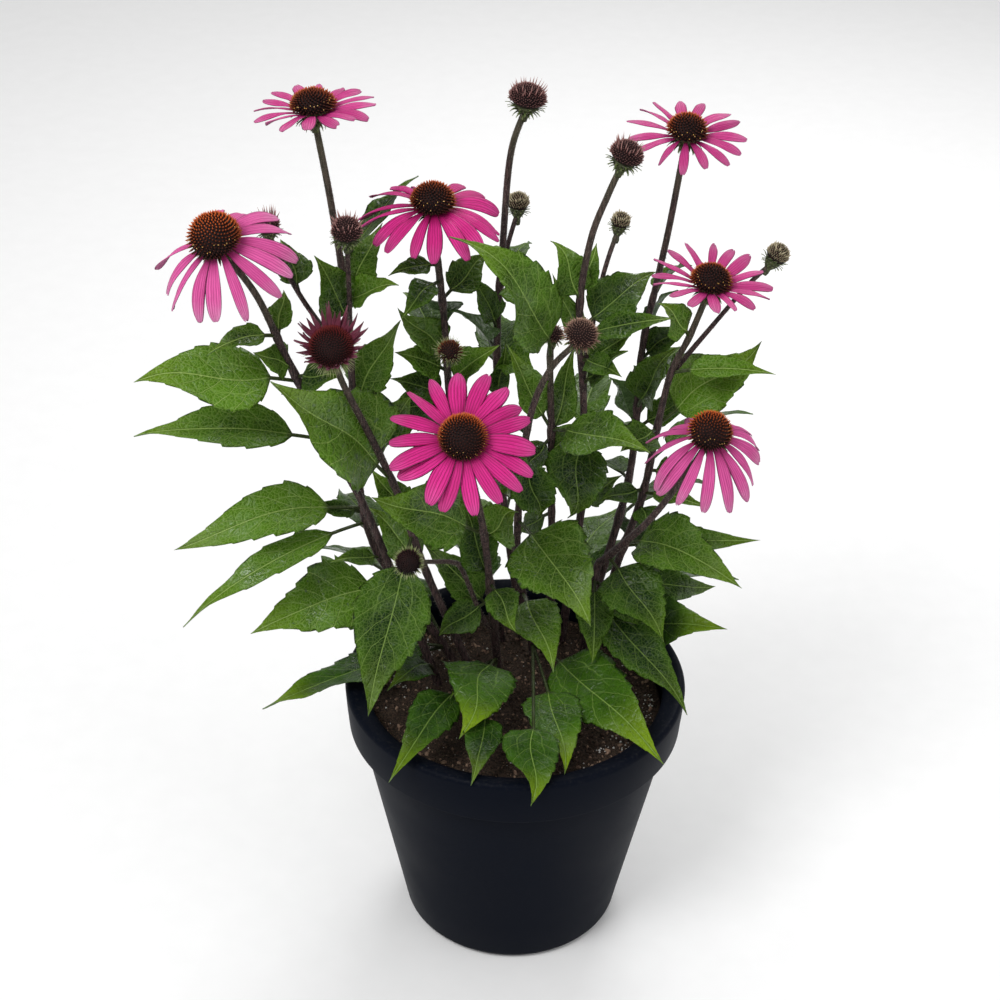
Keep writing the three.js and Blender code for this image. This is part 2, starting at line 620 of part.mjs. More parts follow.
const PLASTIC = { color: 0x16181d, roughness: 0.5, metalness: 0 };
const PEAT = { color: 0x2d2019, roughness: 0.95, metalness: 0 };
const FOLIAGE = { color: 0x356426, roughness: 0.5, metalness: 0 };
const PETAL = { color: 0xd8288a, roughness: 0.6, metalness: 0 };
const YOUNG_PETAL = { color: 0x9c3a58, roughness: 0.6, metalness: 0 };
const CONE = { color: 0x6a2410, roughness: 0.7, metalness: 0 };
const BUD = { color: 0x3a1c1c, roughness: 0.8, metalness: 0 };

function mesh(name, body, look) {
  const { vertProperties, triVerts, numProp } = body.getMesh();
  const geometry = new THREE.BufferGeometry();
  const attribute = new THREE.InterleavedBufferAttribute(
    new THREE.InterleavedBuffer(vertProperties, numProp), 3, 0);
  geometry.setAttribute('position', attribute);
  geometry.setIndex(new THREE.BufferAttribute(triVerts, 1));
  geometry.computeVertexNormals();
  const result = new THREE.Mesh(geometry, new THREE.MeshStandardMaterial(look));
  result.name = name;
  return result;
}

const plant = new THREE.Group();
plant.add(mesh('pot', pot(), PLASTIC));
plant.add(mesh('soil', soil(), PEAT));
for (const [key, shoot] of Object.entries(SHOOTS)) {
  plant.add(mesh(`leafy_stem_${key}`, leafyStem(shoot), FOLIAGE));
}
Object.entries(FLOWERS).forEach(([key, flower], index) => {
  plant.add(mesh(`rays_${key}`, rays(flower, 301 + 17 * index), key === 'young' ? YOUNG_PETAL : PETAL));
  plant.add(mesh(`cone_${key}`, cone(flower), CONE));
});
for (const [key, head] of Object.entries(BUDS)) plant.add(mesh(key, bud(head), BUD));

export default plant;
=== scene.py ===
"""Potted purple coneflower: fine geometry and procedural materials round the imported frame.

Sizes and places are in millimetres, in the frame's axes; MM turns them into Blender's metres.
Stems, leaves, heads and pot have the places and shapes that their solids have in the frame.
A measure that is a pair holds the least and the most of a random draw or of a range.
"""
import math
from functools import reduce

import bpy
import numpy as np
from mathutils import Matrix, Vector, noise


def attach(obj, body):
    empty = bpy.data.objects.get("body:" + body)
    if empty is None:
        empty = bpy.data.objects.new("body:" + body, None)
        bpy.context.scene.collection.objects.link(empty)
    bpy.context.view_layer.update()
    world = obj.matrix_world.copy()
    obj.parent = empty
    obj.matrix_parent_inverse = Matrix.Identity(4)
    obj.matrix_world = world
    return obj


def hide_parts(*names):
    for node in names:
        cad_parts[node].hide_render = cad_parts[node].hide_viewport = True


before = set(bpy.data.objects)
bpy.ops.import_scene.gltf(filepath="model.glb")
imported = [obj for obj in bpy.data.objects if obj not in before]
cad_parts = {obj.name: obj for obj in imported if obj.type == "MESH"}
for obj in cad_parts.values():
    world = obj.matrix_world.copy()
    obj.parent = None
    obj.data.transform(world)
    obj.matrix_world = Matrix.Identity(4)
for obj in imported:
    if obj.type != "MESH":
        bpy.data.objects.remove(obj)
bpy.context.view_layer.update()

MM = 0.001

# ---------------------------------------------------------------- the plant's measures

# Pot: outer radii from the underside to the rim, and the wall that follows them.
POT = dict(height=211, rim=127, band=125, band_height=35, shoulder=117, base=83, corner=7, wall=2.2,
           floor=4, floor_radius=78, sides=160)
LIP = dict(radius=110, drop=8)
BAND_FOOT = POT["height"] - POT["band_height"]
LIP_FOOT = POT["height"] - LIP["drop"]
DRAIN = dict(count=6, radius=7, ring=58, sides=24, low=-5, high=10)

# Soil: mean height of its top, clearance to the pot, heights of its mounds, crumbs and grains, and its mesh.
SOIL = dict(top=187, clearance=0.6, bump=3.08, crumb=1.3, grain=0.7, sides=180, rings=70)

# Loose bits on the soil: bark chips, perlite all over, and perlite in two drifts along the rim.
# CHIP: half lengths, and how much they grow. DRIFT: distances from the rim, and angles in radians.
BITS = dict(chips=3800, perlite=90, drifted=210, pale_share=0.3)
CHIP = dict(size=(0.8, 0.5, 0.35), least=0.8, more=2.8, spread=(0.8, 1.2))
DRIFT = dict(start=5, depth=22, right=0.12, left=3.0, length=0.9)

# Stems: radius at the foot and the top, sides, and step along them; ridges and knots as shares of the
# radius, with the ridges' twist in radians; and their hairs.
STEM = dict(foot=3.3, top=2.1, sides=12, step=5)
BRANCH = dict(foot=1.9, top=1.6, sides=10, step=4)
RIDGE = dict(depth=0.05, count=4, twist=6)
KNOT = dict(swell=0.16, reach=5)
HAIR = dict(length=1.5, width=0.13, per_mm=3.4)

# Cups under the heads: depth, how far the stem stops below the top, and radius under an open flower.
CUP = dict(depth=11, seat=4, sides=20)
FLOWER_CUP = 9
BUD_CUP_SHARE = 0.7

# Rows of bracts on a cup: height, pitch above the cup's plane in radians, and length.
# BRACT: its curl in radians, width, half depth and number of hairs.
BRACT_ROWS = ((-5.5, -0.5, 5.2), (-3.4, -0.1, 6.4), (-1.6, 0.35, 6.8))
BRACT = dict(steps=6, curl=0.9, width=1.05, depth=0.22, hairs=7)

# Ray florets: the disc that they stand on; GAP keeps what touches apart; notch, bow and twist are spreads
# of the cleft, the sideways bend and the roll; groove and ripple are heights.
RAY_PLATE = dict(radius=9, thickness=2, sides=36)
GAP = 0.3
RAY = dict(thickness=0.45, roll=0.2, notch=0.035, bow=0.5, twist=1.4, widths=(0.76, 1.16),
           cupping=(-0.2, 0.3), groove=0.28, ripple=0.3)

# Leaves: the stalk's radius and the blade's thickness; pitch is the half width for each tooth, tooth and
# depths are the teeth's size; plain is the share of leaves without the extra fold; waves run along each
# edge, ruffles are their height; puff, droop and sway are shares of the half width, roll is in radians;
# widest, taper and drawn give the outline.
LEAF = dict(petiole=1.3, thickness=0.6, pitch=2.4, teeth=(4, 9), tooth=0.13, depths=(0.2, 1.5), fold=0.14,
            folds=(0.6, 1.8), extra_fold=0.25, plain=0.75, wave=0.1, waves=(1.5, 2.8),
            ruffles=(0.09, 0.21), puff=0.022, droop=0.45, sway=0.3, roll=1.2, widest=0.6, taper=0.2,
            drawn=1.3)

# How light a leaf's green is, as painted light: by its tip's height at the right of the plant, and by how
# far aside it is.
TONE = dict(height=(400, 465), right=(120, 160), base=0.12, more=0.6, aside=(130, 240), outer=0.5,
            basal=0.15, spread=0.62)

# The ways that blades face, in front of LIGHT_REAR and behind it, and the stalks' shares of the leaves.
LIGHT_FRONT = np.array([0.0, -0.6, 0.8])
LIGHT_BACK = np.array([0.0, 0.5, 0.86])
LIGHT_REAR = 76
PETIOLE_SHARE = 0.18
BASAL_PETIOLE_SHARE = 0.34
CROWN = 200

# Heads: rise of the dome's foot, of its crown above that and of its overhang below, as shares of the
# height; how far the spines start inside the dome, as a share of their length; slopes in degrees.
# Spines: cover and reach say how densely and how far down they stand, the rest how they tilt and taper.
DOME = dict(foot=0.25, crown=0.72, overhang=0.45, sunk=0.55, sides=32, levels=16, lowest=-30, highest=88)
SPINE = dict(cover=1.5, reach=1.22, lean=1.15, lift=0.1, steep=(-0.3, 1.5), upright=1.35, skew=0.16,
             width=0.72, lengths=(0.9, 1.1), shorter=0.4)
POLLEN = dict(count=34, size=0.8, width=0.65)

# Each leafy stem, as in the frame. path: centre line from the foot up to a little below the head.
# leaves: height on the stem, tip x, y, z, half width, arch and, where it differs from 0, turn in degrees.
# The broad leaf of stem c is flatter here than in the frame, so that the stem stands in front of it, and
# five leaves behind the nearest flower are 3 mm wider.
# basal: the same, without a height, for the long-stalked leaves that leave the stem at the soil; the last
# number, where there is one, is the stalk's share of the leaf.
# branches: side stems, each with the height it starts from, its way, its bud and any leaves.
SHOOTS = {
    "a": dict(
        path=[[-45, 50, 172], [-54, 48, 200], [-107, 34, 306], [-117, 25, 410], [-119, 15, 505],
            [-127, 6, 589]],
        leaves=[[338, -251, -10, 323, 18, 58], [266, -195, -20, 264, 27, 18], [545, -76, 90, 578, 13, 4],
            [497, -137, -10, 562, 17, 6], [291, -136, 0, 311, 7, 8], [334, -153, 10, 352, 6, 6],
            [325, -242, -35, 277, 11, 52], [272, -166, 90, 262, 15, 14], [300, -140, 130, 290, 16, 18],
            [390, -175, 95, 400, 14, 14], [425, -86, 35, 492, 16, 6], [515, -84, 2, 537, 11, 8],
            [400, -105, 38, 469, 10, 6], [512, -97, 26, 570, 13, 6]],
        basal=[[-186, -40, 207, 18, 32, -35], [-115, 10, 222, 12, 20], [-120, 135, 220, 16, 28]],
        branches=[
            dict(start=490, path=[[-117, 4, 525]], bud="bud_rising"),
            dict(start=465, path=[[-145, 16, 508], [-159, 14, 537]], bud="bud_left",
                 leaves=[[520, -163, 32, 555, 11, 6]]),
        ],
        head="left_back",
    ),
    "b": dict(
        path=[[-55, 20, 172], [-62, 18, 200], [-92, 8, 300], [-112, 0, 365], [-135, -15, 428],
            [-158, -36, 505], [-173, -46, 552]],
        leaves=[[518, -206, -60, 517, 8, 14], [478, -255, -60, 494, 23, 18], [423, -267, -20, 432, 16, 22],
            [515, -158, -15, 540, 8, 4], [482, -119, -42, 489, 11, 6], [488, -176, -49, 511, 12, 6]],
        basal=[[-93, -55, 242, 14, 25]],
        head="left_front",
    ),
    "c": dict(
        path=[[-28, 14, 172], [-32, 13, 200], [-66, 4, 300], [-85, 0, 368], [-102, -28, 434],
            [-118, -52, 490]],
        leaves=[[384, -162, -75, 505, 33, 12, 12], [415, -77, 0, 454, 15, 5],
            [335, -105, -75, 229, 26, 25], [300, -109, 16, 352, 13, 12], [345, -104, 3, 390, 12, 6]],
        basal=[[-88, -128, 218, 16, 30]],
        head="young",
    ),
    "d": dict(
        path=[[-10, 75, 172], [-13, 75, 200], [-42, 66, 330], [-51, 58, 414], [-55, 48, 486],
            [-59, 39, 535]],
        leaves=[[532, -92, 20, 535, 7, 6], [518, -84, 10, 506, 9, 14], [502, -24, 75, 524, 12, 6],
            [428, -16, 35, 473, 13, 8], [500, -54, 85, 463, 12, 8], [396, -98, 75, 402, 20, 10],
            [350, -60, 185, 340, 18, 18], [260, -40, 190, 245, 20, 22], [450, -90, 150, 455, 13, 12],
            [369, -75, 95, 331, 17, 10], [305, -91, 112, 237, 16, 12], [440, -88, 37, 465, 14, 6],
            [415, -93, 52, 436, 12, 6], [452, -87, 47, 493, 13, 6]],
        basal=[[-60, 180, 216, 17, 30]],
        branches=[dict(start=435, path=[[-52, 34, 458]], bud="bud_inner")],
        head="middle_back",
    ),
    "e": dict(
        path=[[5, 82, 172], [4, 82, 200], [-14, 81, 340], [-18, 76, 450], [-15, 66, 535], [-11, 57, 605]],
        leaves=[[503, 17, 40, 492, 13, 14], [463, -36, 60, 516, 10, 6], [398, -12, 62, 459, 7, 2],
            [437, 13, 60, 435, 13, 10], [300, 10, 195, 285, 19, 20], [420, -20, 180, 425, 15, 14],
            [500, 5, 150, 498, 11, 10], [385, 8, 112, 350, 13, 10], [445, -52, 76, 483, 17, 6]],
        branches=[dict(start=490, path=[[-12, 82, 524]], bud="bud_back_left")],
        head="bud_top",
    ),
    "g": dict(
        path=[[-12, 38, 172], [-14, 34, 200], [-20, -2, 295], [-25, -28, 360], [-32, -52, 415]],
        leaves=[[355, -102, -40, 394, 25, 12], [295, -40, -25, 383, 14, 4], [298, 0, -35, 276, 12, 10],
            [349, -2, -16, 372, 18, 8], [277, -58, 0, 245, 12, 12], [262, -69, 23, 314, 14, 6]],
        basal=[[-40, -91, 225, 27, 32, 0, 0.3], [-48, -45, 226, 8, 14], [-28, -127, 215, 13, 20, 0, 0.6]],
        branches=[
            dict(start=236, path=[[-25, 10, 256], [-40, -14, 316], [-47, -26, 331], [-60, -43, 343]],
                 bud="bud_front"),
        ],
        head="middle_front",
    ),
    "i": dict(
        path=[[15, 55, 172], [13, 53, 200], [0, 30, 295], [1, 9, 380], [6, -5, 440], [18, -15, 482]],
        leaves=[[338, 54, -55, 299, 30, 22], [408, 15, 5, 346, 15, 12], [427, -12, 22, 352, 14, 12],
            [260, 28, -44, 251, 19, 14]],
        basal=[[13, -141, 208, 19, 50, 0, 0.7], [38, -111, 215, 20, 20, 0, 0.5],
            [104, -104, 216, 27, 38, 0, 0.28]],
        head="bud_middle",
    ),
    "j": dict(
        path=[[27, 64, 172], [27, 63, 200], [25, 46, 303], [22, 34, 400], [19, 25, 470]],
        leaves=[[470, -45, -12, 585, 23, 45], [406, 88, -30, 430, 19, 10], [406, -9, 10, 485, 12, -6],
            [395, 37, 47, 467, 10, 6], [400, 5, 40, 367, 9, 6], [330, 0, 54, 302, 9, 6],
            [385, 45, 36, 411, 9, 12]],
        head="bud_middle_small",
    ),
    "k": dict(
        path=[[36, 76, 172], [37, 74, 200], [47, 56, 333], [44, 40, 427], [38, 24, 507], [43, 13, 565],
            [53, 6, 602]],
        leaves=[[512, 20, 28, 560, 13, 14], [490, 90, 48, 528, 19, 6], [516, 48, 35, 553, 8, 2],
            [485, 101, -5, 518, 9, 8], [441, 71, 10, 485, 10, 6], [400, 38, 5, 344, 21, 18],
            [472, 20, 22, 535, 8, 4], [464, 68, 5, 466, 9, 8], [380, 60, 180, 380, 16, 16],
            [250, 90, 185, 245, 19, 20], [455, 77, 35, 487, 9, 6], [325, 75, 51, 358, 8, 6]],
        branches=[dict(start=445, path=[[51, 46, 504], [57, 58, 527]], bud="bud_back_right")],
        head="bud_tall",
    ),
    "l": dict(
        path=[[54, 84, 172], [56, 84, 200], [82, 80, 335], [86, 76, 447], [93, 70, 505], [99, 65, 552]],
        leaves=[[461, 106, 85, 496, 10, 4], [398, 105, 45, 468, 15, 8], [380, 137, 70, 425, 10, 6],
            [300, 150, 150, 290, 18, 20], [400, 125, 165, 405, 15, 14], [491, 118, 98, 509, 9, 8],
            [335, 54, 125, 324, 16, 10], [380, 60, 110, 360, 13, 8], [304, 100, 90, 252, 14, 10],
            [380, 65, 85, 425, 13, 6], [440, 118, 70, 475, 10, 6]],
        basal=[[100, 165, 228, 18, 38]],
        head="right_back",
    ),
    "m": dict(
        path=[[62, 60, 172], [64, 59, 200], [74, 50, 275], [90, 40, 348], [98, 32, 420], [104, 28, 459],
            [114, 24, 488]],
        leaves=[[412, 165, 40, 476, 24, -4], [457, 175, 15, 465, 8, 18], [350, 134, 0, 366, 7, 6],
            [353, 57, 20, 355, 8, 5], [338, 96, 25, 328, 9, 6], [300, 163, -10, 301, 22, 56],
            [298, 179, 35, 313, 10, 10], [408, 71, 10, 403, 14, 8], [371, 123, 30, 368, 10, 8],
            [230, 175, 110, 228, 19, 22], [380, 172, 105, 385, 14, 14], [253, 155, 62, 252, 14, 12],
            [488, 92, 18, 518, 12, 6]],
        basal=[[151, -20, 274, 24, 38]],
        branches=[dict(start=455, path=[[123, 38, 478], [153, 52, 512]], bud="bud_right")],
        head="right_middle",
    ),
    "n": dict(
        path=[[52, 40, 172], [52, 39, 200], [58, 30, 285], [66, 22, 305], [91, -10, 358], [112, -28, 407]],
        leaves=[[280, 57, -20, 237, 13, 12], [278, 100, -2, 252, 11, 10], [305, 106, -38, 273, 23, 18],
            [262, 126, -59, 226, 18, 12]],
        head="right_front",
    ),
}

# The hairy fringe behind the young flower's rays, as the bristles of a bud are given, and its seat.
FRINGE = dict(tips="pale_spine", bristles=130, bristle=8, width=0.5, steep=(-0.5, 0.4))
FRINGE_SEAT = dict(radius=11, height=-8)

# How the heads are dressed: the look of the dome, the length and spacing of its spines, and for the long
# bristles round a bud their look, number, length and width, and the steepness between which they stand,
# in radians. upright: how far the spines of a shut bud turn up along its axis, from 0 to 1.
CONE = dict(look="cone_spine", spine=3.4, spacing=1.75, upright=0, unruly=0.12)
YOUNG_CONE = dict(CONE, look="young_spine", spine=3.2, spacing=1.5)
BUD = dict(spine=2.4, spacing=1.4, crown=0.2, upright=0, unruly=0.5)
DARK_BUD = dict(BUD, look="bud_spine", tips="bud_spine", bristles=30, bristle=6.5, width=0.9,
                steep=(0.95, 1.4), upright=0.45)
GREEN_BUD = dict(BUD, look="green_spine", tips="green_spine", bristles=34, bristle=2.6, width=1.0,
                 steep=(0.9, 1.45), upright=0.75)
BLACK_BUD = dict(BUD, look="black_spine", tips="pale_spine", bristles=90, bristle=3.2, width=0.4,
                 steep=(-0.15, 0.4))
RED_BUD = dict(BUD, look="red_spine", tips="pale_spine", bristles=80, bristle=4.2, width=0.4,
               steep=(0.1, 1.1))
BROWN_BUD = dict(BUD, look="brown_spine", tips="brown_spine", bristles=80, bristle=3.4, width=0.55,
                 steep=(-0.3, 0.8))
SMALL_BUD = dict(BROWN_BUD, bristles=50, bristle=2.6, width=0.5, steep=(-0.2, 0.9))


def table(columns, rows):
    """Rows that start with a name, each as a dictionary by the names of the columns."""
    return {name: dict(zip(columns.split(), values)) for name, *values in rows}


# Open flowers: where the cup's top is, which way it faces, the cone and the ray florets.
# lift: how far a ray starts above the cup's plane; droop: how far it bends down from there, in degrees.
# petal: the look of its rays. width: their width against the frame's, since the older ones have dried
# narrower. crown: how much darker than its sides the cone is on top, where its florets are still shut.
# gap: the directions between which the rays have fallen.
# painted light: the rays of left_front and right_front are painted paler and brighter than the others, as if
# more light fell on them
FLOWERS = table("at facing radius height rays length half lift droop petal width crown gap", [
    ("left_back", (-136, 1, 657), (-0.05, 0.02, 1), 14, 12, 16, 31, 4, 18, 26,
     "faded_petal", 1, 0.1, (0, 0)),
    ("left_front", (-194, -55, 591), (-0.2, -0.4, 0.9), 16.5, 19, 15, 46, 5.8, -8, 54,
     "pale_petal", 0.84, -0.3, (105, 165)),
    ("middle_back", (-62, 32, 577), (0.02, -0.12, 0.99), 14.5, 15, 17, 43, 5, 5, 50,
     "petal", 1.08, 0.15, (0, 0)),
    ("middle_front", (-39, -73, 461), (0.05, -0.6, 0.8), 15.5, 14, 18, 41, 5.6, 8, 28,
     "petal", 1.15, 0.45, (0, 0)),
    ("right_back", (106, 60, 620), (0.06, -0.2, 0.98), 13, 12, 15, 32, 4.8, 14, 34,
     "faded_petal", 0.76, 0.2, (0, 0)),
    ("right_middle", (125, 21, 528), (0.1, -0.14, 0.98), 13.5, 13, 16, 33, 4.6, 24, 28,
     "faded_petal", 0.9, 0.35, (0, 0)),
    ("right_front", (126, -37, 444), (0.02, -0.35, 0.94), 14.5, 17, 16, 46, 5.2, -18, 58,
     "pale_petal", 0.92, 0.05, (0, 0)),
    ("young", (-124, -60, 520), (-0.02, -0.6, 0.8), 13.5, 10, 15, 20, 1.7, 4, -48,
     "young_petal", 1, 0.3, (0, 0)),
])

# Buds: where the cup's top is, which way it faces, the size of the head and how it is dressed.
BUDS = table("at facing radius height style", [
    ("bud_rising", (-116, -15, 579), (0.02, -0.2, 0.98), 10, 13, DARK_BUD),
    ("bud_left", (-170, 13, 569), (-0.1, -0.1, 0.98), 8, 11, DARK_BUD),
    ("bud_inner", (-50, 20, 474), (0, -0.5, 0.85), 8, 9, RED_BUD),
    ("bud_back_left", (-5, 90, 552), (0.05, 0, 1), 8, 10, GREEN_BUD),
    ("bud_top", (-1, 50, 646), (0.15, -0.05, 0.98), 12.5, 12, DARK_BUD),
    ("bud_front", (-75, -64, 357), (-0.25, -0.8, 0.54), 8.5, 9, BLACK_BUD),
    ("bud_middle", (37, -28, 515), (0.1, -0.45, 0.88), 10.5, 12, BROWN_BUD),
    ("bud_middle_small", (21, 21, 488), (0.1, -0.4, 0.9), 6, 8, SMALL_BUD),
    ("bud_tall", (62, 1, 629), (0.3, -0.1, 0.95), 11, 12, DARK_BUD),
    ("bud_back_right", (65, 70, 549), (0.2, 0, 0.98), 7, 9, GREEN_BUD),
    ("bud_right", (172, 59, 531), (0.5, 0.05, 0.86), 8.5, 11, GREEN_BUD),
])

HEADS = {**FLOWERS, **BUDS}

# ---------------------------------------------------------------- vectors and curves


def unit(vector):
    return vector / np.linalg.norm(vector, axis=-1, keepdims=True)


def circle(count):
    """Angles of equal steps round a circle."""
    return np.linspace(0, 2 * np.pi, count, endpoint=False)


def round_points(count):
    """Points of a circle of radius 1 in the ground plane."""
    angle = circle(count)
    return np.stack([np.cos(angle), np.sin(angle), np.zeros(count)], axis=-1)


def pairs(*values):
    """Texture places: two arrays of numbers, stretched to one shape and joined."""
    return np.stack(np.broadcast_arrays(*values), axis=-1)


def both_faces(across):
    """Columns round a thin body, over its top and back along its underside, and 1 or -1 for the face."""
    inner = across[-2:0:-1]
    return np.concatenate([across, inner]), np.array([1.0] * len(across) + [-1.0] * len(inner))


def park_miller(seed):
    """The same draws between 0 and 1 as the frame's ray florets use."""
    state = seed
    while True:
        state = (state * 16807) % 2147483647
        yield state / 2147483647


def spline(points):
    """A uniform Catmull-Rom curve through the points, as many short steps."""
    p = np.array(points, float)
    p = np.vstack([2 * p[0] - p[1], p, 2 * p[-1] - p[-2]])
    t = np.linspace(0, 1, 24, endpoint=False)[:, None]
    pieces = []
    for a, b, c, d in zip(p, p[1:], p[2:], p[3:]):
        pieces.append(0.5 * (2 * b + (c - a) * t + (2 * a - 5 * b + 4 * c - d) * t**2
                             + (3 * b - a - 3 * c + d) * t**3))
    return np.vstack(pieces + [p[-2:-1]])


def resample(line, step):
    """The line in equal steps of about the given length."""
    run = np.concatenate([[0], np.cumsum(np.linalg.norm(np.diff(line, axis=0), axis=1))])
    count = max(3, int(round(run[-1] / step)) + 1)
    at = np.linspace(0, run[-1], count)
    return np.stack([np.interp(at, run, line[:, k]) for k in range(3)], axis=1)


def at_height(line, height):
    above = np.nonzero(line[:, 2] >= height)[0]
    upper = max(1, above[0]) if len(above) else len(line) - 1
    low, high = line[upper - 1], line[upper]
    return low + (high - low) * (height - low[2]) / (high[2] - low[2])


def line_frames(line):
    """Two directions across the line at each of its points, without twist."""
    tangents = unit(np.gradient(line, axis=0))
    side = np.array([1.0, 0, 0])
    sides = []
    for tangent in tangents:
        side = unit(side - tangent * side.dot(tangent))
        sides.append(side)
    sides = np.array(sides)
    return sides, np.cross(tangents, sides)


def smooth(low, high, value):
    t = np.clip((value - low) / (high - low), 0, 1)
    return t * t * (3 - 2 * t)


class Head:
    """The axes of a head: along faces out of it, side points to the right and back to the rear."""

    def __init__(self, head):
        self.origin = np.array(head["at"], float)
        self.along = unit(np.array(head["facing"], float))
        self.side = unit(np.cross([0.0, 1.0, 0.0], self.along))
        self.back = np.cross(self.along, self.side)

    def radial(self, angle):
        return np.cos(angle)[..., None] * self.side + np.sin(angle)[..., None] * self.back

    def point(self, angle, radius, height):
        """Points at angles, radii and heights of one shape."""
        angle, radius, height = np.broadcast_arrays(angle, radius, height)
        return self.origin + radius[..., None] * self.radial(angle) + height[..., None] * self.along

    def steep(self, angle, steepness):
        """Directions that lean out of the head's plane by the steepness."""
        return self.radial(angle) * np.cos(steepness)[:, None] + self.along * np.sin(steepness)[:, None]


# ---------------------------------------------------------------- meshes

# Faces of one small body: a four-sided spike and a three-sided needle. The spike's foot has a share of its
# greatest width, which it reaches at a share of its length; the run goes from 0 to 1 along it.
SPIKE_FOOT = 0.75
SPIKE_MIDDLE = 0.4
SPIKE = [[3, 2, 1, 0]]
for corner, beside in ((0, 1), (1, 2), (2, 3), (3, 0)):
    SPIKE += [[corner, beside, 4 + beside, 4 + corner], [4 + corner, 4 + beside, 8]]
SPIKE_RUN = np.array([0.0] * 4 + [0.45] * 4 + [1.0])
NEEDLE = [[2, 1, 0], [0, 1, 3], [1, 2, 3], [2, 0, 3]]


def cross_axes(directions):
    """Two directions across each of the given ones."""
    helper = np.where(np.abs(directions[:, 2:3]) > 0.9, [[1.0, 0, 0]], [[0, 0, 1.0]])
    side = unit(np.cross(directions, helper))
    return side, np.cross(directions, side)


def new_object(name, points, faces):
    mesh = bpy.data.meshes.new(name)
    mesh.from_pydata(np.vstack(points) * MM, [], faces)
    thing = bpy.data.objects.new(name, mesh)
    bpy.context.scene.collection.objects.link(thing)
    return thing


class Piece:
    """One object in the making: closed bodies, with a look for each face and three texture maps.

    share: places along and across a part, from 0 to 1. span: the same in metres, each leaf one metre on.
    tone: two numbers from 0 to 1 that set a leaf's green.
    """

    def __init__(self):
        self.points = []
        self.faces = []
        self.face_looks = []
        self.maps = dict(share=[], span=[], tone=[])
        self.looks = []
        self.count = 0

    def look(self, name):
        if name not in self.looks:
            self.looks.append(name)
        return self.looks.index(name)

    def add(self, points, faces, looks, share=(0, 0), span=(0, 0), tone=(0, 0)):
        """Adds one body; each map gets one pair of numbers or a pair for each point."""
        points = np.asarray(points, float).reshape(-1, 3)
        self.points.append(points)
        self.faces.extend([[self.count + k for k in face] for face in faces])
        self.face_looks.extend(looks)
        for store, values in zip(self.maps.values(), (share, span, tone)):
            values = np.asarray(values, float).reshape(-1, 2)
            store.append(np.broadcast_to(values, (len(points), 2)))
        self.count += len(points)

    def loft(self, rings, look, **maps):
        """A closed body through rings of equally many points; look is one name or one for each column."""
        rings = np.asarray(rings, float)
        rows, columns = rings.shape[:2]
        index = np.arange(rows * columns).reshape(rows, columns)
        following = np.roll(index, -1, axis=1)
        quads = np.stack([index[:-1], following[:-1], following[1:], index[1:]], axis=-1).reshape(-1, 4)
        names = [look] * columns if isinstance(look, str) else list(look)
        numbers = [self.look(name) for name in names]
        flat = rings.reshape(-1, 3) - rings.reshape(-1, 3).mean(axis=0)
        a, b, c, d = (flat[quads[:, k]] for k in range(4))
        volume = (np.cross(a, b) * c).sum() + (np.cross(a, c) * d).sum()
        faces = quads.tolist() + [index[0, ::-1].tolist(), index[-1].tolist()]
        if volume < 0:
            faces = [face[::-1] for face in faces]
        self.add(rings, faces, numbers * (rows - 1) + [numbers[0]] * 2, **maps)

    def swarm(self, points, pattern, look, share=(0, 0)):
        """Many small bodies of the same faces: points has a row of corners for each of them."""
        count, size = points.shape[:2]
        faces = [[size * k + corner for corner in face] for k in range(count) for face in pattern]
        self.add(points, faces, [self.look(look)] * len(faces), share)

    def spikes(self, bases, directions, lengths, widths, look, levels):
        """Four-sided spikes; levels are their across values in the share map."""
        directions = unit(directions)
        side, other = cross_axes(directions)
        corners = np.stack([side, other, -side, -other], axis=1) * np.reshape(widths, (-1, 1, 1)) / 2
        ways = directions * lengths[:, None]
        low = bases[:, None] + corners * SPIKE_FOOT
        middle = bases[:, None] + corners + (ways * SPIKE_MIDDLE)[:, None]
        tips = (bases + ways)[:, None]
        share = pairs(SPIKE_RUN, np.broadcast_to(levels, len(bases))[:, None])
        self.swarm(np.concatenate([low, middle, tips], axis=1), SPIKE, look, share)

    def hairs(self, bases, directions, lengths, width):
        """Three-sided needles."""
        directions = unit(directions)
        side, other = (axis * width / 2 for axis in cross_axes(directions))
        points = np.stack([bases + side, bases - side * 0.5 + other, bases - side * 0.5 - other,
                           bases + directions * lengths[:, None]], axis=1)
        self.swarm(points, NEEDLE, "hair")

    def build(self, node):
        """Makes the object, which rides on the one body and stands for the node."""
        thing = new_object(f"{node}_fine", self.points, self.faces)
        mesh = thing.data
        mesh.polygons.foreach_set("material_index", self.face_looks)
        mesh.polygons.foreach_set("use_smooth", [True] * len(self.faces))
        corners = np.empty(len(mesh.loops), int)
        mesh.loops.foreach_get("vertex_index", corners)
        for label, store in self.maps.items():
            mesh.uv_layers.new(name=label).data.foreach_set("uv", np.vstack(store)[corners].ravel())
        for look in self.looks:
            mesh.materials.append(LOOKS[look])
        mesh.update()
        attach(thing, "root")
        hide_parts(node)
        return thing


# ---------------------------------------------------------------- materials


class Value:
    """A number or a colour that a material works out: sums and products of it are nodes too."""

    def __init__(self, look, socket):
        self.look = look
        self.socket = socket

    def __add__(self, other):
        return self.look.math("ADD", self, other)

    def __sub__(self, other):
        return self.look.math("SUBTRACT", self, other)

    def __mul__(self, other):
        return self.look.math("MULTIPLY", self, other)

    def __abs__(self):
        return self.look.math("ABSOLUTE", self)

    def between(self, low, high, start=0.0, end=1.0):
        """A soft step: start below low, end above high."""
        inputs = {"Value": self, "From Min": low, "From Max": high, "To Min": start, "To Max": end}
        return self.look.value("ShaderNodeMapRange", inputs, interpolation_type="SMOOTHSTEP")


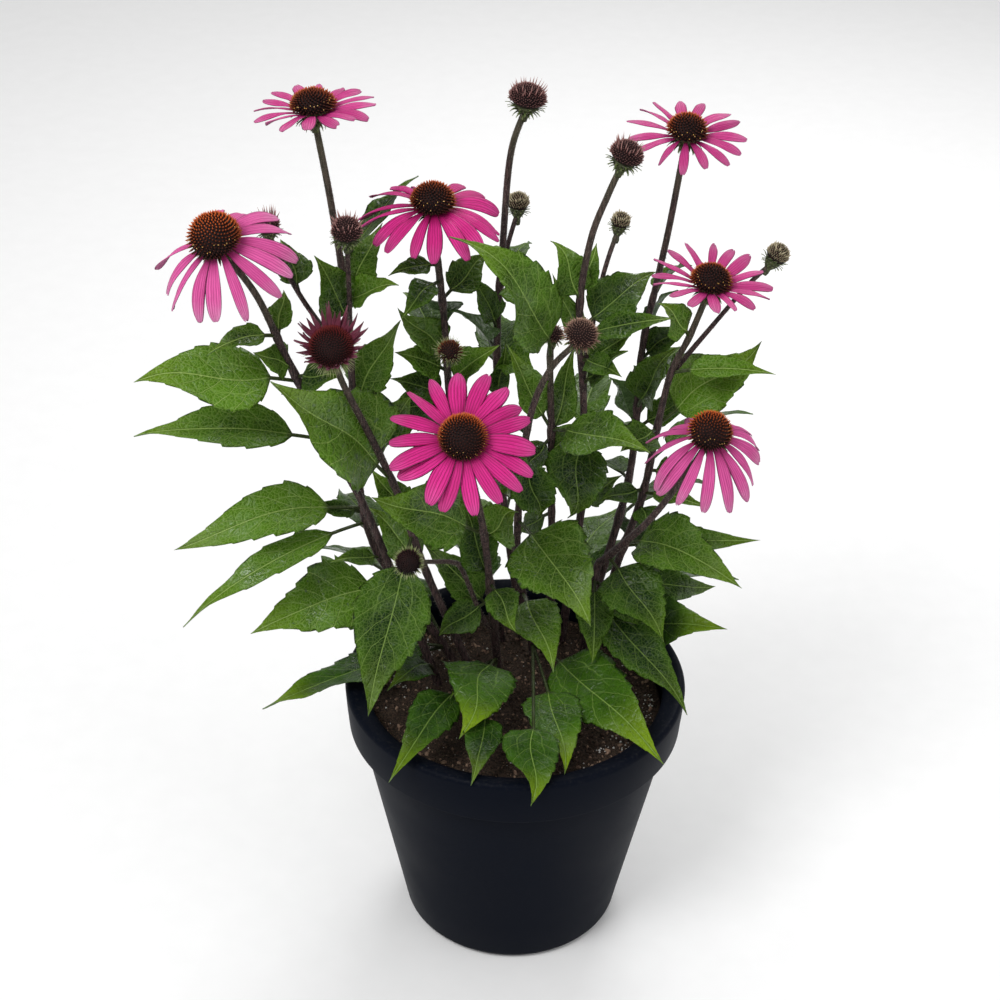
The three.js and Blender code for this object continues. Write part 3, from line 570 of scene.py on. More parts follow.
class Look:
    """A material in the making, with short ways to add nodes to it."""

    def __init__(self, name):
        self.material = bpy.data.materials.new(name)
        self.material.use_nodes = True
        self.tree = self.material.node_tree
        self.shader = self.tree.nodes["Principled BSDF"]
        LOOKS[name] = self.material

    def feed(self, socket, value):
        if isinstance(value, Value):
            self.tree.links.new(value.socket, socket)
        else:
            socket.default_value = value

    def node(self, kind, inputs, **settings):
        node = self.tree.nodes.new(kind)
        for key, value in settings.items():
            setattr(node, key, value)
        for key, value in inputs.items():
            self.feed(node.inputs[key], value)
        return node

    def value(self, kind, inputs, output=0, **settings):
        return Value(self, self.node(kind, inputs, **settings).outputs[output])

    def surface(self, **values):
        for key, value in values.items():
            self.feed(self.shader.inputs[key.replace("_", " ")], value)

    def math(self, operation, a, b=0.0):
        return self.value("ShaderNodeMath", {0: a, 1: b}, operation=operation)

    def most(self, *values):
        return reduce(lambda a, b: self.math("MAXIMUM", a, b), values)

    def axes(self, vector):
        outputs = self.node("ShaderNodeSeparateXYZ", {0: vector}).outputs
        return [Value(self, output) for output in outputs]

    def map(self, label):
        return self.value("ShaderNodeUVMap", {}, uv_map=label)

    def place(self):
        return self.value("ShaderNodeTexCoord", {}, "Object")

    def stretched(self, z_scale):
        return self.value("ShaderNodeMapping", {"Vector": self.place(), "Scale": (1, 1, z_scale)})

    def noise(self, vector, scale, detail=2.0, rough=0.5):
        inputs = {"Vector": vector, "Scale": scale, "Detail": detail, "Roughness": rough}
        return self.value("ShaderNodeTexNoise", inputs, "Fac")

    def cells(self, vector, scale):
        """Distance to the edge of the nearest of many uneven cells."""
        return self.value("ShaderNodeTexVoronoi", {"Vector": vector, "Scale": scale}, "Distance",
                          feature="DISTANCE_TO_EDGE", voronoi_dimensions="2D")

    def mix(self, factor, a, b):
        first, second = (c if isinstance(c, Value) else (*c, 1.0) for c in (a, b))
        return self.value("ShaderNodeMix", {0: factor, 6: first, 7: second}, 2, data_type="RGBA")

    def ramp(self, value, stops):
        node = self.node("ShaderNodeValToRGB", {0: value})
        while len(node.color_ramp.elements) < len(stops):
            node.color_ramp.elements.new(0.5)
        for element, (place, colour) in zip(node.color_ramp.elements, stops):
            element.position = place
            element.color = (*colour, 1.0)
        return Value(self, node.outputs[0])

    def bump(self, height, distance, strength=1.0):
        inputs = {"Height": height, "Distance": distance, "Strength": strength}
        self.surface(Normal=self.value("ShaderNodeBump", inputs))


LOOKS = {}
STALK_COLOUR = (0.03, 0.034, 0.016)
BLUE_GREEN = (0.03, 0.075, 0.034)
BARK = ((0.02, 0.013, 0.014), (0.09, 0.054, 0.053))
BARK_HAIR = (0.22, 0.19, 0.16)
GREEN_BARK = ((0.035, 0.04, 0.02), (0.12, 0.14, 0.07))
PETAL_EDGE = (0.5, 0.2, 0.33)
PLASTIC = ((0.0022, 0.0034, 0.0075), (0.0042, 0.006, 0.0115))
SCUFF = (0.03, 0.034, 0.042)
DUST = (0.08, 0.075, 0.07)

# Leaf veins: pairs of side veins and how far they slant forward; the net's cells in each metre.
SIDE_VEINS = 7.0
VEIN_SLANT = 1.7
NET = 420.0
WIDE_NET = 150.0

# Ribs and fine lines of a petal, as the angle that their waves run through across it.
RIBS = 37.7
FINE_RIBS = 88.0


def leaf_veins(look, along, across, wander, tint, net_share):
    """How strongly the veins show, and how the blade swells between them."""
    span_map = look.map("span")
    midrib = abs(look.axes(span_map)[1]).between(0.0002, 0.0007, 1.3, 0.0)
    arc = abs(across - 0.45).between(0.005, 0.03, 0.7, 0.0) * along.between(0.15, 0.6, 1.0, 0.0)
    phase = along * SIDE_VEINS - across * VEIN_SLANT + wander * 0.7 + tint
    lateral = abs(look.math("FRACT", phase) - 0.5).between(0.006, 0.045, 0.9, 0.0)
    bent = look.value("ShaderNodeVectorMath", {0: span_map, 1: wander * 0.005}, operation="ADD")
    cell = look.cells(bent, NET)
    wide_cell = look.cells(bent, WIDE_NET)
    net = look.most(cell.between(0.02, 0.13, net_share, 0.0), wide_cell.between(0.01, 0.05, net_share, 0.0))
    swell = cell.between(0.0, 0.35, 0.0, 0.55) + wide_cell.between(0.0, 0.25, 0.0, 2.0)
    return look.most(midrib, arc, lateral, net), swell - look.most(midrib, lateral) * 2.0


def blade_look(name, dark, light, vein, tip, vein_share, net_share):
    """A leaf face: midrib, arching side veins and an uneven net, over green that differs by leaf."""
    look = Look(name)
    along, beside, _ = look.axes(look.map("share"))
    tint, other_tint, _ = look.axes(look.map("tone"))
    wander = look.noise(look.map("span"), 90.0) - 0.5
    across = abs(beside * 2.0 - 1.0) + wander * 0.22
    veins, swell = leaf_veins(look, along, across, wander, tint, net_share)
    mottle = look.noise(look.place(), 45.0, 4.0, 0.6)
    # tint carries painted light: leaves at the plant's sides and upper right get a lighter green, more tip
    # colour and stronger veins
    depth = mottle * 0.9 + tint * 0.7
    green = look.mix(depth.between(0.45, 1.25), dark, light)
    green = look.mix(other_tint.between(0.75, 1.0, 0.0, 0.45), green, BLUE_GREEN)
    green = look.mix(across.between(0.35, 1.05, 0.0, 0.4), green, light)
    green = look.mix(along.between(0.5, 1.0) * tint.between(0.0, 0.9, 0.35, 1.0), green, tip)
    green = look.mix(veins * tint.between(0.0, 1.0, vein_share * 0.5, vein_share * 1.25), green, vein)
    look.surface(Base_Color=look.mix(along.between(0.0, 0.05, 0.85, 0.0), green, STALK_COLOUR),
                 Roughness=mottle.between(0.3, 0.7, 0.24, 0.4),
                 Specular_IOR_Level=look.noise(look.place(), 30.0).between(0.48, 0.68, 0.1, 0.5))
    look.bump(swell, 0.00026, 0.9)


def stem_look():
    """Near-black purple bark, streaked and flecked with pale hairs, that turns green by the head."""
    look = Look("stem")
    along = look.axes(look.map("share"))[0]
    streak = look.noise(look.stretched(0.12), 900.0, 3.0)
    fleck = look.noise(look.place(), 1500.0).between(0.6, 0.7, 0.0, 0.6)
    bark = look.mix(fleck, look.mix(streak.between(0.35, 0.7), *BARK), BARK_HAIR)
    patches = look.noise(look.place(), 25.0) - 0.5
    greening = (along + patches * 0.5).between(0.75, 1.2, 0.0, 0.6)
    look.surface(Base_Color=look.mix(greening, bark, look.mix(streak, *GREEN_BARK)), Roughness=0.6,
                 Specular_IOR_Level=0.14)
    look.bump(streak, 0.0004, 0.6)


def petal_look(name, deep, bright, pale):
    """A ray floret's face: lengthwise ribs, deeper towards the cone, partly its own colour and partly
    painted shade, paler at the tip and the edges.
    """
    look = Look(name)
    along, beside, _ = look.axes(look.map("share"))
    tint = look.axes(look.map("tone"))[0]
    across = beside - 0.5 + (look.noise(look.place(), 150.0, 3.0) - 0.5) * 0.09
    line = look.math("COSINE", across * RIBS).between(0.2, 1.0)
    fine = look.math("COSINE", across * FINE_RIBS).between(-0.5, 1.0)
    far = along + look.noise(look.place(), 220.0, 3.0) * 0.3
    streak = look.value("ShaderNodeCombineXYZ", {0: along, 1: beside * 6.0, 2: tint * 40.0})
    # painted shade: the deep colour near the cone is partly the ray's own and partly shade where the ray
    # meets the cone
    colour = look.mix(along.between(0.0, 0.4), deep, bright)
    colour = look.mix(far.between(0.7, 1.25), colour, pale)
    colour = look.mix(look.most(line * 0.68, fine * 0.3), colour, deep)
    colour = look.mix(look.noise(streak, 3.0).between(0.35, 0.65, 0.0, 0.35), colour, deep)
    colour = look.mix(tint * 0.3, colour, deep)
    colour = look.mix(abs(beside - 0.5).between(0.44, 0.5, 0.0, 0.6), colour, PETAL_EDGE)
    look.surface(Base_Color=colour, Roughness=0.55, Specular_IOR_Level=0.25)
    look.bump(line + fine, -0.0003, 0.7)


def spine_look(name, base, body, tip, crown_tip):
    """Spines and bristles: dark at the foot, coloured at the point; duller towards the crown, and at the
    head's front as painted shade.
    """
    look = Look(name)
    along, painted_shade_and_crown, _ = look.axes(look.map("share"))
    rim = look.ramp(along, [(0.0, base), (0.4, body), (0.85, tip), (1.0, tip)])
    crown = look.ramp(along, [(0.0, base), (0.55, base), (1.0, crown_tip)])
    # painted shade: the second share number darkens the spines towards the head's front and lightens them
    # towards its rear, and adds the crown's own darker colour
    height = painted_shade_and_crown + (look.noise(look.place(), 500.0) - 0.5) * 0.3
    look.surface(Base_Color=look.mix(height.between(0.05, 0.85), rim, crown), Roughness=0.6,
                 Specular_IOR_Level=0.2)


def mottled_look(name, dark, light, scale, roughness, bump):
    look = Look(name)
    grain = look.noise(look.place(), scale, 4.0, 0.6)
    look.surface(Base_Color=look.mix(grain.between(0.3, 0.7), dark, light), Roughness=roughness,
                 Specular_IOR_Level=0.3)
    look.bump(grain, bump, 0.8)


def plastic_look():
    """Near-black moulded plastic: faint moulding rings, fine scratches, and dust on what faces up."""
    look = Look("pot_plastic")
    place = look.place()
    up = look.axes(look.value("ShaderNodeNewGeometry", {}, "Normal"))[2]
    blotch = look.noise(place, 14.0, 4.0)
    scuffs = look.noise(look.stretched(9), 160.0, 3.0, 0.7).between(0.64, 0.8)
    dust = up.between(-0.1, 1.0) * look.noise(place, 420.0, 4.0).between(0.5, 0.8)
    base = look.mix(scuffs * 0.2, look.mix(blotch, *PLASTIC), SCUFF)
    rings = look.math("SINE", look.axes(place)[2] * 5200.0) * 0.05
    look.surface(Base_Color=look.mix(dust * 0.16, base, DUST),
                 Roughness=blotch.between(0.2, 0.8, 0.42, 0.55), Specular_IOR_Level=0.035)
    look.bump(rings + look.noise(place, 900.0), 0.00012, 0.6)


# Leaf faces: dark and light green, veins, tip, how strongly the veins and the net show.
BLADES = {
    "leaf": ((0.006, 0.023, 0.003), (0.078, 0.18, 0.008), (0.28, 0.42, 0.1), (0.13, 0.23, 0.01), 0.75, 0.4),
    "basal_leaf": ((0.004, 0.02, 0.003), (0.045, 0.125, 0.005), (0.24, 0.38, 0.08), (0.22, 0.35, 0.008),
                   0.6, 0.16),
    "leaf_under": ((0.04, 0.08, 0.03), (0.085, 0.15, 0.045), (0.2, 0.3, 0.12), (0.11, 0.19, 0.05), 0.5, 0.4),
}

# Ray florets: the colour near the cone, partly painted shade, the full colour, and the tip's.
PETALS = {
    "petal": ((0.3, 0.003, 0.08), (0.93, 0.03, 0.35), (0.93, 0.12, 0.46)),
    "petal_under": ((0.36, 0.04, 0.16), (0.6, 0.11, 0.32), (0.66, 0.2, 0.42)),
    "faded_petal": ((0.34, 0.012, 0.12), (0.86, 0.08, 0.37), (0.92, 0.26, 0.54)),
    # painted light: lighter rays for the two drooping front flowers, as if more light fell on them
    "pale_petal": ((0.42, 0.02, 0.16), (0.95, 0.16, 0.5), (0.97, 0.42, 0.7)),
    "young_petal": ((0.1, 0.012, 0.022), (0.38, 0.085, 0.15), (0.6, 0.28, 0.35)),
}

# Spines: foot, body, tip, and the tip of those that stand on the crown, also painted shade on a head's
# front.
SPINES = {
    "cone_spine": ((0.009, 0.0025, 0.0015), (0.15, 0.022, 0.008), (0.7, 0.14, 0.02), (0.12, 0.022, 0.01)),
    "young_spine": ((0.01, 0.002, 0.002), (0.06, 0.006, 0.005), (0.18, 0.016, 0.014), (0.11, 0.012, 0.012)),
    "bud_spine": ((0.03, 0.013, 0.014), (0.17, 0.065, 0.062), (0.44, 0.25, 0.22), (0.28, 0.12, 0.11)),
    "black_spine": ((0.005, 0.002, 0.002), (0.016, 0.005, 0.005), (0.045, 0.012, 0.011),
                    (0.02, 0.007, 0.006)),
    "brown_spine": ((0.035, 0.018, 0.015), (0.2, 0.1, 0.075), (0.46, 0.3, 0.22), (0.3, 0.15, 0.12)),
    "red_spine": ((0.02, 0.005, 0.003), (0.11, 0.025, 0.012), (0.24, 0.08, 0.03), (0.14, 0.035, 0.018)),
    "green_spine": ((0.15, 0.14, 0.08), (0.36, 0.33, 0.2), (0.52, 0.45, 0.31), (0.46, 0.27, 0.2)),
    "pale_spine": ((0.12, 0.14, 0.05), (0.3, 0.34, 0.14), (0.48, 0.5, 0.26), (0.3, 0.34, 0.14)),
    "bract": ((0.02, 0.032, 0.01), (0.06, 0.09, 0.026), (0.16, 0.2, 0.07), (0.16, 0.2, 0.07)),
}

# Mottled stuff: dark, light, the grain's scale, roughness and bump.
MOTTLED = {
    "cone_core": ((0.006, 0.0015, 0.0015), (0.02, 0.005, 0.004), 300.0, 0.8, 0.0004),
    "cup": ((0.02, 0.024, 0.01), (0.07, 0.085, 0.03), 350.0, 0.6, 0.0003),
    "hair": ((0.3, 0.29, 0.22), (0.5, 0.48, 0.38), 80.0, 0.6, 0.0001),
    "pollen": ((0.78, 0.4, 0.06), (0.9, 0.62, 0.24), 300.0, 0.7, 0.0002),
    "peat": ((0.005, 0.0035, 0.0025), (0.085, 0.054, 0.036), 700.0, 0.95, 0.002),
    "chip_dark": ((0.02, 0.013, 0.009), (0.09, 0.055, 0.038), 400.0, 0.9, 0.0006),
    "chip_pale": ((0.13, 0.08, 0.055), (0.36, 0.24, 0.17), 400.0, 0.9, 0.0006),
    "perlite": ((0.45, 0.43, 0.4), (0.8, 0.79, 0.75), 500.0, 0.8, 0.0006),
}


def make_looks():
    for make, looks in ((blade_look, BLADES), (petal_look, PETALS), (spine_look, SPINES),
                        (mottled_look, MOTTLED)):
        for name, values in looks.items():
            make(name, *values)
    stem_look()
    plastic_look()


# ---------------------------------------------------------------- stems and leaves

# Places across a blade, from edge to edge, closer together at the midrib and at the side veins.
ACROSS = np.array([-1, -0.86, -0.66, -0.42, -0.2, -0.06, 0, 0.06, 0.2, 0.42, 0.66, 0.86, 1])
BLADE_COLUMNS, BLADE_FACE = both_faces(ACROSS)
BLADE_EDGE = np.abs(BLADE_COLUMNS) ** 3
TOOTH_STEPS = np.array([0, 0.35, 0.7, 0.92])
BLADE_END = 0.995
STALK_ROWS = 4


def blade_rows(teeth, petiole):
    """The rows of a leaf as shares of its length, and the same along the blade alone, as columns."""
    foot = np.linspace(0, petiole, STALK_ROWS + 1)[:-1]
    u = ((np.arange(teeth)[:, None] + TOOTH_STEPS) / teeth).ravel()
    u = np.append(u, BLADE_END)
    t = np.concatenate([foot, petiole + (1 - petiole) * u])
    return t[:, None], np.concatenate([np.zeros(STALK_ROWS), u])[:, None]


def blade_outline(u):
    rise = np.sin(np.pi * np.minimum(u, 0.9999) ** LEAF["widest"]) ** LEAF["drawn"]
    return rise * (1 - LEAF["taper"] * u) / 0.92


def blade_width(u, half, teeth, random):
    """Half width at each row and column, with uneven teeth along both edges."""
    saw = np.zeros((2, len(u)))
    depths = np.repeat(random.uniform(*LEAF["depths"], (2, teeth)), len(TOOTH_STEPS), axis=1)
    slopes = np.tile(TOOTH_STEPS, teeth) - 0.45
    saw[:, STALK_ROWS:STALK_ROWS + len(slopes)] = depths * slopes
    left, right = LEAF["tooth"] * saw[:, :, None]
    notched = 1 + np.where(BLADE_COLUMNS > 0, right, left) * BLADE_EDGE * (u > 0)
    return half * blade_outline(u) * notched + LEAF["petiole"] * (1 - u)


def blade_relief(u, half, width, phase, random):
    """Height at each row and column: fold, wave, ruffled edges, puffed fields, and grooves at the veins."""
    aside = np.abs(BLADE_COLUMNS)
    sides = (BLADE_COLUMNS > 0) * 1
    beat = u * random.uniform(*LEAF["waves"], 2)[sides] + random.random(2)[sides]
    ruffle = random.uniform(*LEAF["ruffles"]) * half * BLADE_EDGE * np.sin(2 * np.pi * beat)
    puff = LEAF["puff"] * half * np.sin(2 * np.pi * (8 * u - 2.4 * aside)) * (1 - BLADE_EDGE)
    groove = 0.45 * np.exp(-(aside * width / 0.9) ** 2) + 0.3 * np.exp(-((aside - 0.42) * width / 1.2) ** 2)
    keel = 0.9 * np.exp(-(aside * width / 1.1) ** 2) * (1 - u)
    fold = LEAF["fold"] * random.uniform(*LEAF["folds"])
    fold += LEAF["extra_fold"] if random.random() > LEAF["plain"] else 0
    wave = LEAF["wave"] * np.sin(9 * u + phase)
    lift = width * (aside * fold + BLADE_COLUMNS * wave) + ruffle * np.sin(np.pi * u)
    lift = lift + puff * np.minimum(aside * 5, 1) - groove
    flat = lift + np.where(BLADE_FACE > 0, LEAF["thickness"] / 2, -LEAF["thickness"] / 2 - keel)
    rounded = BLADE_FACE * np.sqrt(1 - BLADE_COLUMNS**2) * LEAF["petiole"]
    flatness = smooth(0, 0.07, u)
    return flat * flatness + rounded * (1 - flatness)


def leaf_axes(t, base, tip, arch, roll):
    """The midrib's points and, at each, the directions across the blade and out of it."""
    light = LIGHT_FRONT if tip[1] < LIGHT_REAR else LIGHT_BACK
    along = unit(tip - base)
    side = unit(np.cross(along, light))
    knee = (base + tip) / 2 + np.cross(side, along) * arch
    centre = (1 - t) ** 2 * base + 2 * t * (1 - t) * knee + t**2 * tip
    normal = unit(np.cross(side, (1 - t) * (knee - base) + t * (tip - knee)))
    across = side * np.cos(roll) + normal * np.sin(roll)
    up = normal * np.cos(roll) - side * np.sin(roll)
    return centre[:, None], across[:, None], up[:, None]


def leaf_tone(tip, look, random):
    """The two numbers of a leaf's green: lighter at both sides and at the upper right as painted light, plus
    a random spread.
    """
    sunny = TONE["base"] + TONE["more"] * smooth(*TONE["right"], tip[0])
    light = TONE["outer"] * smooth(*TONE["aside"], abs(tip[0])) + sunny * smooth(*TONE["height"], tip[2])
    return np.minimum(TONE["spread"] * random.random(2) + [light if look == "leaf" else TONE["basal"], 0], 1)


def leaf(piece, number, base, tip, half, arch, turn=0, petiole=PETIOLE_SHARE, look="leaf"):
    """One leaf: a round stalk that flattens into a toothed blade, grooved on top along its veins."""
    tip = np.array(tip, float)
    random = np.random.default_rng(int(1e4 + 31 * tip[0] + 17 * tip[1] + 7 * tip[2]))
    teeth = int(np.clip(round(half / LEAF["pitch"]), *LEAF["teeth"]))
    t, u = blade_rows(teeth, petiole)
    width = blade_width(u, half, teeth, random)
    z = blade_relief(u, half, width, tip[0], random)
    z = z - LEAF["droop"] * half * random.random() * (np.maximum(u - 0.6, 0) / 0.4) ** 2
    sway = LEAF["sway"] * half * (random.random() - 0.5) * np.sin(2 * np.pi * u)
    roll = math.radians(turn) + LEAF["roll"] * (random.random() - 0.5) * u**2
    x = BLADE_COLUMNS * width
    centre, across, up = leaf_axes(t, base, tip, arch, roll)
    rings = centre + across * (x + sway)[..., None] + up * z[..., None]
    faces = [look] * (len(ACROSS) - 1) + ["leaf_under"] * (len(ACROSS) - 1)
    span = pairs(number + 0.3 + t * np.linalg.norm(tip - base) * MM, x * MM)
    piece.loft(rings, faces, share=pairs(u, (BLADE_COLUMNS + 1) / 2), span=span,
               tone=leaf_tone(tip, look, random))


def basal_leaf(piece, number, base, tip, half, arch, turn=0, petiole=BASAL_PETIOLE_SHARE):
    leaf(piece, number, base, tip, half, arch, turn, petiole, "basal_leaf")


def tube(piece, line, sizes, random, knots=()):
    """A stem along a line: faintly ridged, a little thicker at its knots, and hairy."""
    line = resample(line, sizes["step"])
    sides, others = line_frames(line)
    t = np.linspace(0, 1, len(line))
    radius = sizes["foot"] + (sizes["top"] - sizes["foot"]) * t
    for height in knots:
        radius = radius * (1 + KNOT["swell"] * np.exp(-((line[:, 2] - height) / KNOT["reach"]) ** 2))
    angle = circle(sizes["sides"])
    ridge = np.cos(angle * RIDGE["count"] + RIDGE["twist"] * t[:, None])
    ridged = radius[:, None] * (1 + RIDGE["depth"] * ridge)
    out = np.cos(angle)[None, :, None] * sides[:, None] + np.sin(angle)[None, :, None] * others[:, None]
    piece.loft(line[:, None] + out * ridged[..., None], "stem",
               share=pairs(t[:, None], angle / (2 * np.pi)))
    count = int(np.linalg.norm(np.diff(line, axis=0), axis=1).sum() * HAIR["per_mm"])
    row = random.integers(0, len(line) - 1, count)
    part = random.random((count, 1))
    turn = random.random((count, 1)) * 2 * np.pi
    direction = np.cos(turn) * sides[row] + np.sin(turn) * others[row]
    at = line[row] * (1 - part) + line[row + 1] * part + direction * radius[row][:, None] * 0.9
    lean = direction + 0.5 * (random.random((count, 3)) - 0.5)
    piece.hairs(at, lean, HAIR["length"] * (0.5 + random.random(count)), HAIR["width"])


def cup_radius(name):
    return FLOWER_CUP if name in FLOWERS else BUDS[name]["radius"] * BUD_CUP_SHARE


def cup(piece, name, random):
    """The cup under a head: a swelling of the stem with rows of pointed bracts, curled unless it is shut."""
    radius = cup_radius(name)
    shut = 1.1 * HEADS[name].get("style", CONE)["upright"]
    axes = Head(HEADS[name])
    profile = [(2.3, -CUP["depth"] - 2), (2.6, -CUP["depth"]), (0.42 * radius, -8), (0.7 * radius, -5.5),
               (0.9 * radius, -3), (radius, -1.2), (0.97 * radius, -0.3), (0.7 * radius, 0)]
    piece.loft([axes.point(circle(CUP["sides"]), size, height) for size, height in profile], "cup")
    scale = (radius / FLOWER_CUP) ** 0.6
    count = int(9 + radius * 0.6)
    for row, (height, pitch, reach) in enumerate(BRACT_ROWS):
        start = radius * (0.62 + 0.16 * row)
        for k in range(count):
            turn = 2 * np.pi * (k + 0.33 * row + 0.25 * random.random()) / count
            bract(piece, axes, turn, start, height * scale, pitch + shut, reach * scale, random)
    if name == "young":
        bristles(piece, axes, FRINGE_SEAT, FRINGE, random)


def bract(piece, axes, turn, start, height, pitch, reach, random):
    """One pointed bract, which leans out and curls down at its tip, with hairs along it."""
    steps, hairs = BRACT["steps"], BRACT["hairs"]
    radial = axes.radial(np.array(turn))
    across = np.cross(axes.along, radial)
    t = np.linspace(0, 1, steps)[:, None]
    bend = pitch + 0.4 * (random.random() - 0.5) - BRACT["curl"] * t
    run = np.cumsum(np.vstack([[[0, 0]], np.hstack([np.cos(bend), np.sin(bend)])[1:]]), axis=0)
    run = run * reach * random.uniform(0.85, 1.15) / (steps - 1)
    centre = axes.point(turn, start, height) + run[:, :1] * radial + run[:, 1:] * axes.along
    normal = -np.sin(bend) * radial + np.cos(bend) * axes.along
    width = BRACT["width"] * (1 - t**1.6) * (reach / BRACT_ROWS[1][2]) + 0.05
    ring = [(-1, 0), (0, BRACT["depth"]), (1, 0), (0, -BRACT["depth"])]
    rings = np.stack([centre + across * width * x + normal * z for x, z in ring], axis=1)
    piece.loft(rings, "bract", share=np.repeat(pairs(t, np.zeros(1)), 4, axis=1))
    place = 1 + random.integers(0, 4, hairs)
    sign = np.where(random.random((hairs, 1)) < 0.5, -1.0, 1.0)
    at = centre[place] + across * width[place] * sign * 0.8
    lean = across * sign + radial * 0.6 + normal[place] * (random.random((hairs, 1)) - 0.3)
    piece.hairs(at, lean, random.uniform(0.9, 1.6, hairs), HAIR["width"] * 0.9)


def leafy_stem(key, shoot, index):
    """A whole shoot: its stem and the head's cup, its leaves, and its side branches with theirs."""
    piece = Piece()
    random = np.random.default_rng(500 + ord(key))
    numbers = iter(range(1 + 20 * index, 20 + 20 * index))
    line = stalk(piece, shoot["path"], shoot["head"], STEM, random, [row[0] for row in shoot["leaves"]])
    for height, x, y, z, *shape in shoot["leaves"]:
        leaf(piece, next(numbers), at_height(line, height), (x, y, z), *shape)
    for x, y, z, *shape in shoot.get("basal", ()):
        basal_leaf(piece, next(numbers), at_height(line, CROWN), (x, y, z), *shape)
    for branch in shoot.get("branches", ()):
        path = [at_height(line, branch["start"])] + branch["path"]
        side = stalk(piece, path, branch["bud"], BRANCH, random)
        for height, x, y, z, *shape in branch.get("leaves", ()):
            leaf(piece, next(numbers), at_height(side, height), (x, y, z), *shape)
    piece.build(f"leafy_stem_{key}")


def stalk(piece, path, head, sizes, random, knots=()):
    """A stem or side stem up to a head, with the head's cup; gives its centre line."""
    seat = Head(HEADS[head]).point(0.0, 0.0, -CUP["seat"])
    line = spline(path + [seat])
    tube(piece, line, sizes, random, knots)
    cup(piece, head, random)
    return line


# ---------------------------------------------------------------- flowers and buds

RAY_ACROSS = np.array([-1, -0.72, -0.36, 0, 0.36, 0.72, 1])
RAY_COLUMNS, RAY_FACE = both_faces(RAY_ACROSS)
RAY_STEPS = np.concatenate([np.linspace(-0.04, 0.8, 12), [0.87, 0.92, 0.96, 0.985, 1]])[:, None]


def ray_width(s):
    """Share of the half width along a ray floret: narrow at its foot, widest past its middle, round."""
    end = np.clip((s - 0.66) / 0.34, 0, 1)
    return (0.35 + 0.65 * np.sin(np.pi / 2 * np.minimum(s / 0.62, 1))) * np.sqrt(1 - 0.93 * end**2)


def young_ray_width(s):
    """The same for an unopened floret, which is rolled up and pointed."""
    return (0.9 + 0.4 * np.sin(np.pi * s)) * (1 - 0.92 * s**1.8)


def ray(piece, axes, degrees, length, half, lift, droop, random, looks, shape):
    """One ray floret along the same arc as in the frame, with two grooves and a notched tip."""
    radial = axes.radial(np.array(math.radians(degrees)))
    tangential = np.cross(axes.along, radial)
    first, bend = math.radians(lift), math.radians(droop)
    notch = RAY["notch"] * random.random() * (1 - np.abs(np.cos(1.38 * np.pi * RAY_COLUMNS)))
    run = RAY_STEPS * (1 - notch * smooth(0.6, 1, RAY_STEPS))
    share = np.clip(run, 0, 1)
    sway = RAY["bow"] / 2 * (random.random() - 0.5) * length * share**2
    pitch = first - bend * run
    out = RAY_PLATE["radius"] + length * (math.sin(first) - np.sin(pitch)) / bend
    height = GAP + RAY_PLATE["thickness"] / 2 + length * (np.cos(pitch) - math.cos(first)) / bend
    roll = (RAY["roll"] + RAY["twist"] * (random.random() - 0.5) * share**1.5)[..., None]
    normal = -np.sin(pitch)[..., None] * radial + np.cos(pitch)[..., None] * axes.along
    across = tangential * np.cos(roll) + normal * np.sin(roll)
    up = normal * np.cos(roll) - tangential * np.sin(roll)
    x = RAY_COLUMNS * half * shape(share) * random.uniform(*RAY["widths"])
    z = RAY["groove"] * np.cos(3 * np.pi * RAY_COLUMNS) * np.clip(run * 4, 0, 1)
    z = z - random.uniform(*RAY["cupping"]) * half * RAY_COLUMNS**2
    z = z + RAY_FACE * RAY["thickness"] / 2 * (1 - 0.75 * RAY_COLUMNS**2)
    z = z + RAY["ripple"] * np.sin(9 * run + 6 * random.random()) * RAY_COLUMNS
    points = axes.origin + out[..., None] * radial + height[..., None] * axes.along
    points = points + across * (x + sway)[..., None] + up * z[..., None]
    faces = [look for look in looks for _ in RAY_ACROSS[1:]]
    piece.loft(points, faces, share=pairs(share, (RAY_COLUMNS + 1) / 2), tone=(random.random(), 0))


def ray_plate(piece, axes):
    """The thin disc that the ray florets stand on, with its rims broken."""
    low, high = GAP, GAP + RAY_PLATE["thickness"]
    profile = [(0.96, low), (1, low + 0.4), (1, high - 0.4), (0.96, high)]
    piece.loft([axes.point(circle(RAY_PLATE["sides"]), share * RAY_PLATE["radius"], height)
                for share, height in profile], "cup")


def rays(key, flower, index):
    """A flower's ring of rays, drawn as in the frame; the young one opens from its rear and has more."""
    piece = Piece()
    axes = Head(flower)
    young = key == "young"
    draws = park_miller(301 + 17 * index)
    random = np.random.default_rng(70 + index)
    looks = (flower["petal"], flower["petal"] if young else "petal_under")
    shape = young_ray_width if young else ray_width
    half = flower["half"] * flower["width"]
    ray_plate(piece, axes)
    count = flower["rays"]
    for k in range(count):
        degrees = 360 * (k + 0.2 * (next(draws) - 0.5)) / count
        length = flower["length"] * (0.93 + 0.12 * next(draws)) * (rear_share(degrees) if young else 1)
        lift = flower["lift"] + 8 * (next(draws) - 0.5)
        droop = flower["droop"] * (0.85 + 0.3 * next(draws))
        if not flower["gap"][0] < degrees < flower["gap"][1]:
            ray(piece, axes, degrees, length, half, lift, droop, random, looks, shape)
    for k in range(2 * count if young else 0):
        degrees = 180 * (k + 0.8 * (random.random() - 0.5)) / count
        length = flower["length"] * random.uniform(0.65, 1.05) * rear_share(degrees)
        lift = 30 * random.random()
        ray(piece, axes, degrees, length, half, lift, flower["droop"], random, looks, shape)
    piece.build(f"rays_{key}")


def rear_share(degrees):
    """How long a ray of the young flower is, which opens from its rear."""
    return 0.8 + 0.35 * math.sin(math.radians(degrees))


def dome_rise(lean):
    """Share of a head's height at which its dome leans out so far from its plane."""
    crown = DOME["crown"] * np.sin(np.maximum(lean, 0))
    return DOME["foot"] + crown + DOME["overhang"] * np.sin(np.minimum(lean, 0))


